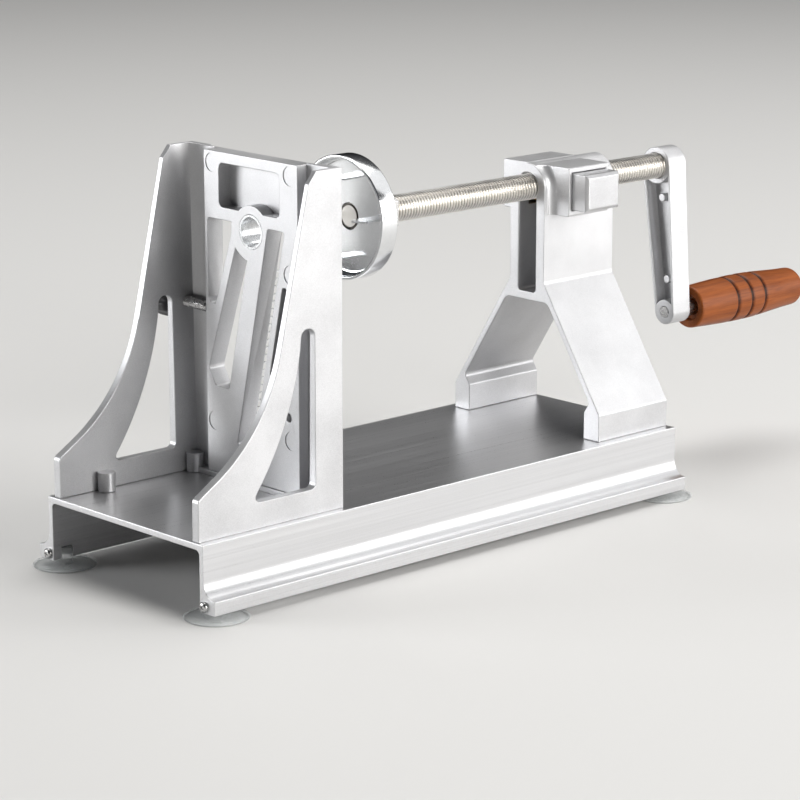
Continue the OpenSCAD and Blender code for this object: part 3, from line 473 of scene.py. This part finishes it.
# connected islands of a node, as boxes
def islands(nodeName):
    bm = bmesh.new()
    bm.from_mesh(nodes[nodeName].data)
    bmesh.ops.remove_doubles(bm, verts=bm.verts, dist=weld)
    boxes = []
    seen = set()
    for vert in bm.verts:
        if vert in seen:
            continue
        stack = [vert]
        seen.add(vert)
        group = []
        while stack:
            current = stack.pop()
            group.append(current.co.copy())
            for edge in current.link_edges:
                other = edge.other_vert(current)
                if other not in seen:
                    seen.add(other)
                    stack.append(other)
        low = Vector(min(p[k] for p in group) for k in range(3))
        high = Vector(max(p[k] for p in group) for k in range(3))
        boxes.append((low, high))
    bm.free()
    return boxes


# node trees

def newTree(name, inputs):
    tree = bpy.data.node_groups.new(name, "GeometryNodeTree")
    tree.interface.new_socket(name="Geometry", in_out="INPUT", socket_type="NodeSocketGeometry")
    for label, kind in inputs:
        tree.interface.new_socket(name=label, in_out="INPUT", socket_type="NodeSocket" + kind)
    tree.interface.new_socket(name="Geometry", in_out="OUTPUT", socket_type="NodeSocketGeometry")
    return tree, tree.nodes.new("NodeGroupInput"), tree.nodes.new("NodeGroupOutput")


# sets or links a node's inputs, by name or, as i0, i1 and so on, by number
def joined(tree, node, **sockets):
    for label, value in sockets.items():
        byNumber = label[0] == "i" and label[1:].isdigit()
        socket = node.inputs[int(label[1:]) if byNumber else label]
        if isinstance(value, bpy.types.NodeSocket):
            tree.links.new(value, socket)
        else:
            socket.default_value = value
    return node


def calc(tree, operation, first, second=0.0, third=0.0):
    node = tree.nodes.new("ShaderNodeMath")
    node.operation = operation
    joined(tree, node, i0=first, i1=second, i2=third)
    return node.outputs[0]


def closeTree(tree, geometry, source, sink):
    realize = joined(tree, tree.nodes.new("GeometryNodeRealizeInstances"), Geometry=geometry)
    paint = joined(tree, tree.nodes.new("GeometryNodeSetMaterial"), Geometry=realize.outputs[0])
    tree.links.new(source.outputs["Finish"], paint.inputs["Material"])
    tree.links.new(paint.outputs[0], sink.inputs[0])


def grown(name, tree, values, base=None):
    start = base or bpy.data.meshes.new(name + "Seed")
    seed = newObject(name + "Seed", start)
    modifier = seed.modifiers.new("grow", "NODES")
    modifier.node_group = tree
    for item in tree.interface.items_tree:
        if item.item_type == "SOCKET" and item.in_out == "INPUT" and item.name in values:
            modifier[item.identifier] = values[item.name]
    mesh = evaluated(seed, name)
    seed.modifiers.clear()
    bpy.data.objects.remove(seed)
    return newObject(name, mesh)


# shares of one pitch: end of the root, then of the rising flank, the crest and the falling flank
threadShares = (0.0, 0.34, 0.49, 0.83)


# helical thread: a sheet of four lines per pitch, sheared by one pitch per turn and rolled up
def threadTree():
    tree, source, sink = newTree("helicalThread", [
        ("Crest", "Float"), ("Root", "Float"), ("Pitch", "Float"), ("Length", "Float"), ("Sides", "Int"),
        ("Place", "Vector"), ("Turn", "Vector"), ("Finish", "Material"),
    ])
    get = source.outputs
    lines = float(len(threadShares))
    turns = calc(tree, "CEIL", calc(tree, "DIVIDE", get["Length"], get["Pitch"]))
    rows = calc(tree, "MULTIPLY_ADD", turns, lines, 2 * lines + 1)  # two pitches to spare for the shear
    sides = calc(tree, "ADD", get["Sides"], 1.0)
    sheet = tree.nodes.new("GeometryNodeMeshGrid")
    joined(tree, sheet, i0=1.0, i1=1.0, i2=rows, i3=sides)
    onSheet = tree.nodes.new("GeometryNodeInputPosition")
    place = joined(tree, tree.nodes.new("ShaderNodeSeparateXYZ"), i0=onSheet.outputs[0])
    along = calc(tree, "ADD", place.outputs["X"], 0.5)
    line = calc(tree, "ROUND", calc(tree, "MULTIPLY", along, calc(tree, "SUBTRACT", rows, 1.0)))
    angle = calc(tree, "MULTIPLY", calc(tree, "ADD", place.outputs["Y"], 0.5), 2 * math.pi)
    step = calc(tree, "MODULO", line, lines)
    group = calc(tree, "FLOOR", calc(tree, "DIVIDE", calc(tree, "ADD", line, 0.5), lines))
    shares = tree.nodes.new("GeometryNodeIndexSwitch")
    shares.data_type = "FLOAT"
    shares.index_switch_items.new()
    shares.index_switch_items.new()
    joined(tree, shares, i0=step)
    for number, share in enumerate(threadShares):
        shares.inputs[number + 1].default_value = share
    pitches = calc(tree, "ADD", calc(tree, "SUBTRACT", group, 1.0), shares.outputs[0])
    pitches = calc(tree, "ADD", pitches, calc(tree, "DIVIDE", angle, 2 * math.pi))
    run = calc(tree, "MAXIMUM", calc(tree, "MULTIPLY", pitches, get["Pitch"]), 0.0)
    run = calc(tree, "MINIMUM", run, get["Length"])
    toEnd = calc(tree, "MINIMUM", run, calc(tree, "SUBTRACT", get["Length"], run))
    top = calc(tree, "COMPARE", step, 1.5, 0.6)  # lines 1 and 2 of the four are on the crest
    radius = calc(tree, "MULTIPLY_ADD", top, calc(tree, "SUBTRACT", get["Crest"], get["Root"]), get["Root"])
    radius = calc(tree, "MINIMUM", radius, calc(tree, "ADD", get["Root"], toEnd))
    spot = tree.nodes.new("ShaderNodeCombineXYZ")
    joined(tree, spot, X=run, Y=calc(tree, "MULTIPLY", radius, calc(tree, "COSINE", angle)),
           Z=calc(tree, "MULTIPLY", radius, calc(tree, "SINE", angle)))
    rolled = tree.nodes.new("GeometryNodeSetPosition")
    joined(tree, rolled, Geometry=sheet.outputs[0], Position=spot.outputs[0])
    outward = joined(tree, tree.nodes.new("GeometryNodeFlipFaces"), Mesh=rolled.outputs[0])
    disc = tree.nodes.new("GeometryNodeMeshCircle")
    disc.fill_type = "NGON"
    joined(tree, disc, Vertices=get["Sides"], Radius=get["Root"])
    quarter = (math.pi / 2, 0, math.pi / 2)
    endPlace = joined(tree, tree.nodes.new("ShaderNodeCombineXYZ"), X=get["Length"])
    endCap = tree.nodes.new("GeometryNodeTransform")
    joined(tree, endCap, Geometry=disc.outputs[0], Translation=endPlace.outputs[0], Rotation=quarter)
    startCap = tree.nodes.new("GeometryNodeTransform")
    joined(tree, startCap, Geometry=disc.outputs[0], Rotation=quarter)
    startCap = joined(tree, tree.nodes.new("GeometryNodeFlipFaces"), Mesh=startCap.outputs[0])
    parts = tree.nodes.new("GeometryNodeJoinGeometry")
    for part in (outward, endCap, startCap):
        tree.links.new(part.outputs[0], parts.inputs[0])
    welded = tree.nodes.new("GeometryNodeMergeByDistance")
    joined(tree, welded, Geometry=parts.outputs[0], Distance=weld)
    moved = tree.nodes.new("GeometryNodeTransform")
    joined(tree, moved, Geometry=welded.outputs[0], Translation=get["Place"], Rotation=get["Turn"])
    closeTree(tree, moved.outputs[0], source, sink)
    return tree


# a template on every point, its Z turned to the point's own axis
def scatterTree():
    tree, source, sink = newTree("fixedCopies", [("Template", "Object"), ("Finish", "Material")])
    axis = tree.nodes.new("GeometryNodeInputNamedAttribute")
    axis.data_type = "FLOAT_VECTOR"
    axis.inputs["Name"].default_value = "axis"
    roll = tree.nodes.new("GeometryNodeInputNamedAttribute")
    roll.data_type = "FLOAT"
    roll.inputs["Name"].default_value = "roll"
    info = joined(tree, tree.nodes.new("GeometryNodeObjectInfo"), Object=source.outputs["Template"])
    turned = tree.nodes.new("FunctionNodeAlignRotationToVector")
    turned.axis = "Z"
    joined(tree, turned, Vector=axis.outputs[0])
    spin = joined(tree, tree.nodes.new("FunctionNodeAxisAngleToRotation"), Angle=roll.outputs[0])
    both = tree.nodes.new("FunctionNodeRotateRotation")
    both.rotation_space = "LOCAL"
    joined(tree, both, i0=turned.outputs[0], i1=spin.outputs[0])
    placed = tree.nodes.new("GeometryNodeInstanceOnPoints")
    joined(tree, placed, Points=source.outputs["Geometry"], Instance=info.outputs["Geometry"])
    joined(tree, placed, Rotation=both.outputs[0])
    closeTree(tree, placed.outputs[0], source, sink)
    return tree


def scattered(name, tree, template, points, axes, rolls, material):
    holder = newObject(name + "Template", template)
    seed = bpy.data.meshes.new(name + "Points")
    seed.from_pydata(points, [], [])
    axis = seed.attributes.new("axis", "FLOAT_VECTOR", "POINT")
    axis.data.foreach_set("vector", [c for a in axes for c in a])
    roll = seed.attributes.new("roll", "FLOAT", "POINT")
    roll.data.foreach_set("value", rolls)
    piece = grown(name, tree, {"Template": holder, "Finish": material}, seed)
    bpy.data.objects.remove(holder)
    return piece


threads = threadTree()
copies = scatterTree()
print("node trees ready")


# threaded rod and lock screw

rodThread = {"root": 5.8 * mm, "pitch": 2.0 * mm, "sides": 40, "smooth": 32}
lockThread = {"root": 2.4 * mm, "pitch": 1.0 * mm, "sides": 28, "smooth": 32}


# along is 0 for a thread along X and 1 for one along Y
def threadedPiece(name, node, settings, along, body, material):
    low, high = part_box(node)
    sizes = high - low
    start = (low + high) / 2
    start[along] = low[along]
    piece = grown(name, threads, {
        "Crest": sizes.z / 2, "Root": settings["root"], "Pitch": settings["pitch"], "Length": sizes[along],
        "Sides": settings["sides"], "Place": start, "Turn": (0.0, 0.0, along * math.pi / 2),
        "Finish": material,
    })
    smoothByAngle(piece.data, settings["smooth"])
    settle(piece, body, "steel", node)


threadedPiece("threadedRodPiece", "threaded_rod", rodThread, 0, "drive", rodSteel)
threadedPiece("lockScrewPiece", "lock_screw", lockThread, 1, "lock_shank", zincSteel)
print("threads rolled")


# pan-head screws with a cross recess

screwSettings = {
    "headWide": 1.85, "headHigh": 0.65, "cross": 0.495, "arm": 0.17, "deep": 0.30,  # shares of the thread
    "edge": 0.30, "crown": ((0.95, 0.42), (0.86, 0.70), (0.74, 0.87), (0.60, 1.0)),  # shares of the head
    "taper": 0.55, "roll": (0.5, 1.3), "sides": 32, "smooth": 35,
}


def panScrew(name, size, length, settings):
    bm = bmesh.new()
    n = settings["sides"]
    headR = size * settings["headWide"] / 2
    headH = size * settings["headHigh"]
    shank = size / 2
    edge, taper = settings["edge"], settings["taper"]
    profile = [(shank, length), (shank, 0), (headR, 0), (headR, -headH * edge)]
    profile += [(headR * c, -headH * (edge + (1 - edge) * s)) for c, s in settings["crown"]]
    circle = [(math.cos(2 * math.pi * i / n), math.sin(2 * math.pi * i / n)) for i in range(n)]
    rings = [[bm.verts.new((r * c, r * s, height)) for c, s in circle] for r, height in profile]
    for low, high in zip(rings, rings[1:]):
        for i in range(n):
            j = (i + 1) % n
            bm.faces.new((low[i], low[j], high[j], high[i]))
    bm.faces.new(list(reversed(rings[0])))
    arm, reach = settings["arm"] * size, settings["cross"] * size
    outline = []
    for k in range(4):
        c, s = math.cos(k * math.pi / 2), math.sin(k * math.pi / 2)
        for x, y in ((arm / 2, arm / 2), (reach, arm / 2), (reach, -arm / 2)):
            outline.append((c * x - s * y, s * x + c * y))
    outline.sort(key=lambda p: math.atan2(p[1], p[0]))  # the corners in order round the cross
    count = len(outline)
    bed = settings["deep"] * size - headH
    top = [bm.verts.new((x, y, -headH)) for x, y in outline]
    bottom = [bm.verts.new((x * taper, y * taper, bed)) for x, y in outline]
    edges = [bm.edges.new((top[i], top[(i + 1) % count])) for i in range(count)]
    rim = [bm.edges.get((rings[-1][i], rings[-1][(i + 1) % n])) for i in range(n)]
    bmesh.ops.triangle_fill(bm, edges=edges + rim, use_beauty=True)
    for i in range(count):
        j = (i + 1) % count
        bm.faces.new((top[i], top[j], bottom[j], bottom[i]))
    bm.faces.new(bottom)
    bmesh.ops.recalc_face_normals(bm, faces=bm.faces)
    mesh = bpy.data.meshes.new(name)
    bm.to_mesh(mesh)
    bm.free()
    return mesh


# one screw in the place of each solid of the node; direction gives the way its shank points
def screwSet(name, node, body, direction, size):
    points, axes, rolls = [], [], []
    head = size * screwSettings["headHigh"]
    firstRoll, nextRoll = screwSettings["roll"]
    for number, (low, high) in enumerate(islands(node)):
        spot = (low + high) / 2
        shank = Vector(direction(spot))
        along = max(range(3), key=lambda k: abs(shank[k]))
        length = high[along] - low[along] - head
        spot[along] = (low[along] + head) if shank[along] > 0 else (high[along] - head)
        points.append(spot)
        axes.append(shank)
        rolls.append(firstRoll + nextRoll * number)
    template = panScrew(name + "Shape", size, length, screwSettings)
    piece = scattered(name, copies, template, points, axes, rolls, zincSteel)
    smoothByAngle(piece.data, screwSettings["smooth"])
    settle(piece, body, "steel", node)


screwSet("cupScrewSet", "cup_screws", "stand", lambda p: (-1 if p.x > 0 else 1, 0, 0), 3 * mm)
screwSet("frameScrewSet", "frame_screws", "stand", lambda p: (0, 0, 1), 4 * mm)
screwSet("bracketScrewSet", "bracket_screws", "stand", lambda p: (0, 0, 1), 5 * mm)
screwSet("bladeScrewSet", "blade_screws", "blade_insert", lambda p: (-1, 0, 0), 2.5 * mm)
print("screws set")


# suction cups, one template on four points

# heights are in skirt thicknesses; radii are in rims, in rings inside the rim, and in necks
cupSettings = {
    "skirt": 1.0 * mm, "ring": 2.0 * mm, "neck": 4.0 * mm, "neckEdge": 0.6 * mm, "sides": 72, "smooth": 40,
    "under": ((0.0, 1.3), (0.35, 1.15), (0.62, 0.75)),
    "lip": ((2.0, 0.4), (1.0, 0.0), (0.3, 0.0), (0.0, 0.35), (0.0, 0.75), (0.15, 1.0)),
    "over": ((0.80, 1.25), (0.60, 1.7), (0.42, 2.3)),
    "foot": ((1.25, 2.9), (1.0, 3.6)),
}


def suctionCups():
    names = [f"suction_cup_{end}_{side}" for end in ("front", "rear") for side in ("near", "far")]
    spots = []
    for name in names:
        low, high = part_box(name)
        spots.append(Vector(((low.x + high.x) / 2, (low.y + high.y) / 2, 0)))
    low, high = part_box(names[0])
    rim, tall = (high.x - low.x) / 2, high.z
    s = cupSettings
    skirt, ring, neck, edge = s["skirt"], s["ring"], s["neck"], s["neckEdge"]
    profile = [(rim * a, skirt * b) for a, b in s["under"]]
    profile += [(rim - ring * a, skirt * b) for a, b in s["lip"]]
    profile += [(rim * a, skirt * b) for a, b in s["over"]]
    profile += [(neck * a, skirt * b) for a, b in s["foot"]]
    profile += [(neck, tall - edge), (neck - edge, tall), (0, tall)]
    template = lathe("suctionCupShape", profile, s["sides"], upright, Vector((0, 0, 0)))
    count = len(names)
    piece = scattered("suctionCupSet", copies, template, spots, [(0, 0, 1)] * count, [0.0] * count, vinyl)
    smoothByAngle(piece.data, s["smooth"])
    settle(piece, "stand", "clear_vinyl", *names)


suctionCups()
print("suction cups set")


# castings and the extrusion with softened edges, from the nodes' own shapes

softSettings = {
    "edgeAngle": 32, "flatAngle": 0.4, "smooth": 36,  # degrees
    "room": 2.4, "near": 2.0,  # in widths of the rounding
    "segments": 2, "tries": 6, "flatness": 90,
}
softPieces = [
    # piece, node, body, slot, finish, width
    ("baseChannelPiece", "base_channel", "stand", "anodised", anodised, 0.35 * mm),
    ("bladeFramePiece", "blade_frame", "stand", "casting", silver, 0.45 * mm),
    ("bladePlatePiece", "blade_plate", "blade_insert", "casting", silver, 0.4 * mm),
    ("rearBracketPiece", "rear_bracket", "stand", "casting", silver, 0.5 * mm),
    ("crankArmPiece", "crank_arm", "drive", "casting", silver, 0.6 * mm),
    ("releaseButtonPiece", "release_button", "release", "button_metal", buttonSatin, 0.5 * mm),
    ("pusherNutPiece", "pusher_nut", "drive", "steel", zincSteel, 0.4 * mm),
]


# true where the face is free of other edges for some way inwards from this one
def hasRoom(edge, face, reach):
    loop = next(one for one in edge.link_loops if one.face == face)
    along = loop.link_loop_next.vert.co - loop.vert.co
    inward = face.normal.cross(along).normalized()
    middle = loop.vert.co + along / 2
    if max((v.co - middle).dot(inward) for v in face.verts) < reach:
        return False
    for other in face.edges:
        if other == edge or set(other.verts) & set(edge.verts):
            continue
        spot, share = intersect_point_line(middle, other.verts[0].co, other.verts[1].co)
        if not 0 < share < 1:
            spot = other.verts[0].co if share <= 0 else other.verts[1].co
        gap = spot - middle
        if gap.length < reach and gap.dot(inward) > 0.5 * gap.length:  # within 60 degrees of inwards
            return False
    return True


# spots where the outline of a face crosses itself after the edges were rounded;
# the triangles of such a face cover more than its own area
def crossings(mesh):
    spots = []
    mesh.calc_loop_triangles()
    filled = [0.0] * len(mesh.polygons)
    for triangle in mesh.loop_triangles:
        filled[triangle.polygon_index] += triangle.area
    for face in mesh.polygons:
        if len(face.vertices) < 6 or filled[face.index] - face.area < 1e-9:
            continue
        turn = face.normal.rotation_difference(Vector((0, 0, 1)))
        corners = [turn @ mesh.vertices[index].co for index in face.vertices]
        back, height = turn.inverted(), corners[0].z
        flat = [corner.to_2d() for corner in corners]
        sides = [(flat[i - 1], flat[i]) for i in range(len(flat))]
        for i, (a, b) in enumerate(sides):
            for c, d in sides[i + 2:]:
                meet = intersect_line_line_2d(a, b, c, d) if c != b and d != a else None
                if meet:
                    spots.append(back @ Vector((meet.x, meet.y, height)))
    return spots


def softened(name, node, body, slot, material, width):
    s = softSettings
    source = nodes[node].data.copy()
    source.name = name + "Source"
    bm = bmesh.new()
    bm.from_mesh(source)
    bmesh.ops.remove_doubles(bm, verts=bm.verts, dist=weld)
    flatAngle = math.radians(s["flatAngle"])
    bmesh.ops.dissolve_limit(bm, angle_limit=flatAngle, verts=bm.verts, edges=bm.edges)
    weight = bm.edges.layers.float.new("bevel_weight_edge")
    for edge in bm.edges:  # only outer edges with room on both sides are rounded
        if len(edge.link_faces) != 2 or edge.calc_face_angle_signed(0) < math.radians(s["edgeAngle"]):
            continue
        if all(hasRoom(edge, face, s["room"] * width) for face in edge.link_faces):
            edge[weight] = 1.0
    if "custom_normal" in source.attributes:
        source.attributes.remove(source.attributes["custom_normal"])
    holder = newObject(name + "Source", source)
    for attempt in range(s["tries"]):
        bm.to_mesh(source)
        holder.modifiers.clear()
        rounding = holder.modifiers.new("rounding", "BEVEL")
        rounding.width = width
        rounding.segments = s["segments"]
        rounding.limit_method = "WEIGHT"
        rounding.use_clamp_overlap = False
        rounded = evaluated(holder, name + "Rounded")
        spots = crossings(rounded)
        if not spots:
            break
        for edge in bm.edges:  # the few edges at such a spot stay sharp
            a, b = (v.co for v in edge.verts)
            for spot in spots:
                share = intersect_point_line(spot, a, b)[1]
                closest = a + (b - a) * min(max(share, 0.0), 1.0)
                if (closest - spot).length < s["near"] * width:
                    edge[weight] = 0.0
    bm.free()
    smoothByAngle(rounded, s["smooth"])
    holder.modifiers.clear()
    holder.data = rounded
    flat = holder.modifiers.new("flat", "WEIGHTED_NORMAL")  # the large faces stay flat
    flat.weight = s["flatness"]
    flat.keep_sharp = True
    mesh = evaluated(holder, name)
    bpy.data.objects.remove(holder)
    piece = newObject(name, mesh, material)
    settle(piece, body, slot, node)
    print("softened", node, len(mesh.polygons), "faces", attempt, "corrections")


for row in softPieces:
    softened(*row)


# turned pieces; their settings are in millimetres

pusherSettings = {
    "rim": 2.0, "floor": 4.0, "depth": 10.5, "edge": 0.7, "corner": 2.0,
    "hub": (24.0, 10.0), "hubFoot": 1.0, "hubEdge": 0.8, "bore": 7.05, "boreEdge": 0.5,
    "sides": 160, "smooth": 30,
}


def pusherCup():
    low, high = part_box("pusher_cup")
    s = pusherSettings
    r = (high.y - low.y) / 2 / mm
    inner = r - s["rim"]
    depth, edge, corner = s["depth"], s["edge"], s["corner"]
    floor = depth - s["floor"]
    hub, foot, hubEdge = s["hub"][0] / 2, s["hubFoot"], s["hubEdge"]
    back = depth + s["hub"][1]
    bore, boreEdge = s["bore"], s["boreEdge"]
    profile = [(bore, floor), (inner - corner, floor)]
    profile += arc((inner - corner, floor - corner), corner, 80, 0, 5)
    profile += arc((inner + edge, edge), edge, 180, 270, 4) + arc((r - edge, edge), edge, 270, 360, 4)
    profile += arc((r - edge, depth - edge), edge, 0, 90, 4)
    profile += [(hub + foot, depth)] + arc((hub + foot, depth + foot), foot, 270, 180, 4)[1:]
    profile += arc((hub - hubEdge, back - hubEdge), hubEdge, 0, 90, 4)
    profile += [(bore + boreEdge, back), (bore, back - boreEdge)]
    place = Vector((low.x, (low.y + high.y) / 2, (low.z + high.z) / 2))
    mesh = lathe("pusherCupPiece", [(a * mm, b * mm) for a, b in profile], s["sides"], alongX, place)
    piece = newObject("pusherCupPiece", mesh, chrome)
    smoothByAngle(mesh, s["smooth"])
    settle(piece, "drive", "chromed", "pusher_cup")


gripSettings = {
    "d0": 23.6, "d1": 26.2, "d2": 21.6,  # at the crank, at the belly and at the outer end
    "belly": 0.45, "swell": 200, "dome": (0.94, 0.075),  # shares of the length; degrees of a sine over it
    "bevel": 1.4, "recess": (7.5, 4.0), "recessEdge": 0.5,
    "headHole": (5.3, 9.0), "headEdge": (0.4, 0.3), "bore": 3.06,
    "grooveStart": 0.33, "groovePitch": 11.8, "grooves": 3, "grooveDeep": 0.95, "grooveWide": 2.0,
    "steps": 260, "sides": 128, "smooth": 40,
}


def gripRadius(t, s):
    belly, (domeStart, domeLong) = s["belly"], s["dome"]
    if t < belly:
        body = s["d0"] + (s["d1"] - s["d0"]) * math.sin(math.radians(s["swell"] * t))
    else:
        fall = math.cos(math.pi * (t - belly) / (1 - belly))
        body = s["d2"] + (s["d1"] - s["d2"]) * (0.5 + 0.5 * fall)
    end = math.sqrt(max(0.0, 1 - ((t - domeStart) / domeLong) ** 2)) if t > domeStart else 1.0
    return body * end / 2


def handleGrip():
    low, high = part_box("handle_grip")
    s = gripSettings
    length = (high.x - low.x) / mm
    bore, bevel, steps = s["bore"], s["bevel"], s["steps"]
    (recess, recessDeep), recessEdge = s["recess"], s["recessEdge"]
    (hole, holeDeep), (holeWall, holeEdge) = s["headHole"], s["headEdge"]
    grooves = [s["grooveStart"] * length + k * s["groovePitch"] for k in range(s["grooves"])]

    def dip(z):
        return sum(math.exp(-(((z - g) / (s["grooveWide"] / 2)) ** 2)) for g in grooves)

    profile = [(bore, recessDeep), (recess, recessDeep), (recess, recessEdge), (recess + recessEdge, 0)]
    first = gripRadius(bevel / length, s)
    profile += [(first - bevel, 0)] + arc((first - bevel, bevel), bevel, -60, 0, 4)
    for i in range(1, steps + 1):
        z = bevel + (length - bevel) * i / steps
        radius = gripRadius(z / length, s) - s["grooveDeep"] * dip(z)
        profile.append((max(radius, hole + holeWall), z))
    profile += [(hole, length - holeEdge), (hole, length - holeDeep), (bore, length - holeDeep)]
    place = Vector((low.x, (low.y + high.y) / 2, (low.z + high.z) / 2))
    mesh = lathe("handleGripPiece", [(a * mm, b * mm) for a, b in profile], s["sides"], alongX, place)
    # groove mask for the painted shade in the turned grooves
    grooveShade = mesh.attributes.new("groove", "FLOAT", "POINT")
    grooveShade.data.foreach_set("value", [dip((vert.co.x - low.x) / mm) for vert in mesh.vertices])
    piece = newObject("handleGripPiece", mesh, wood)
    smoothByAngle(mesh, s["smooth"])
    settle(piece, "grip", "wood", "handle_grip")


knobSettings = {
    "lobes": 8, "deep": 1.7, "round": 2.0, "bore": 3.06, "boreDeep": 8.0, "boreEdge": 0.3,
    "hub": 0.45, "fluteFrom": 0.62,  # shares of the radius
    "dish": ((0.55, 0.6), (0.3, 0.7), (0.0, 0.7)),  # share of the radius, and depth
    "sides": 192, "smooth": 40,
}


def lockKnob():
    low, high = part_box("lock_knob")
    s = knobSettings
    r = (high.z - low.z) / 2 / mm
    thick = (high.y - low.y) / mm
    rounding, flute = s["round"], s["fluteFrom"]
    bore, boreDeep, boreEdge = s["bore"], s["boreDeep"], s["boreEdge"]
    profile = [(0, boreDeep), (bore, boreDeep), (bore, boreEdge), (bore + boreEdge, 0)]
    profile += [(r * s["hub"], 0), (r * flute, 0)]
    profile += arc((r - rounding, rounding), rounding, 270, 360, 6)
    profile += arc((r - rounding, thick - rounding), rounding, 0, 90, 6)
    profile += [(r * flute, thick)] + [(r * share, thick - deep) for share, deep in s["dish"]]
    place = Vector(((low.x + high.x) / 2, low.y, (low.z + high.z) / 2))
    mesh = lathe("lockKnobPiece", [(a * mm, b * mm) for a, b in profile], s["sides"], alongY, place)
    # press the flutes in round the edge
    for vert in mesh.vertices:
        local = Vector((vert.co.x - place.x, vert.co.z - place.z))
        share = max(0.0, (local.length / mm / r - flute) / (1 - flute))
        if share > 0:
            turn = math.atan2(local.y, local.x)
            press = s["deep"] * mm * share * max(0.0, math.cos(turn * s["lobes"])) ** 2
            local *= (local.length - press) / local.length
            vert.co.x, vert.co.z = place.x + local.x, place.z + local.y
    piece = newObject("lockKnobPiece", mesh, plastic)
    smoothByAngle(mesh, s["smooth"])
    settle(piece, "lock_grip", "knob_plastic", "lock_knob")


pusherCup()
handleGrip()
lockKnob()
print("turned pieces ready")


# release spring, welded and smoothed, on its own copy of the mesh

springSettings = {"joint": "button_press", "smooth": 50}


def releaseSpring():
    bm = bmesh.new()
    bm.from_mesh(nodes["release_spring"].data)
    bmesh.ops.remove_doubles(bm, verts=bm.verts, dist=weld)
    mesh = bpy.data.meshes.new("releaseSpringPiece")
    bm.to_mesh(mesh)
    bm.free()
    piece = newObject("releaseSpringPiece", mesh, zincSteel)
    smoothByAngle(mesh, springSettings["smooth"])
    settle(piece, "stand", "steel", "release_spring")
    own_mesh(piece)


releaseSpring()
print("spring ready")


# finishes on the nodes that keep their own shape

kept = {
    "coring_tube": groundSteel, "slicing_blade": groundSteel, "scoring_comb": groundSteel,
    "pusher_prongs": groundSteel, "half_nut": bronze, "loose_washer": zincSteel,
    "crank_screw": zincSteel, "grip_spacer": zincSteel, "grip_bolt": zincSteel,
}
for nodeName, material in kept.items():
    mesh = nodes[nodeName].data
    mesh.materials.clear()
    mesh.materials.append(material)
print("kept nodes finished:", len(kept))
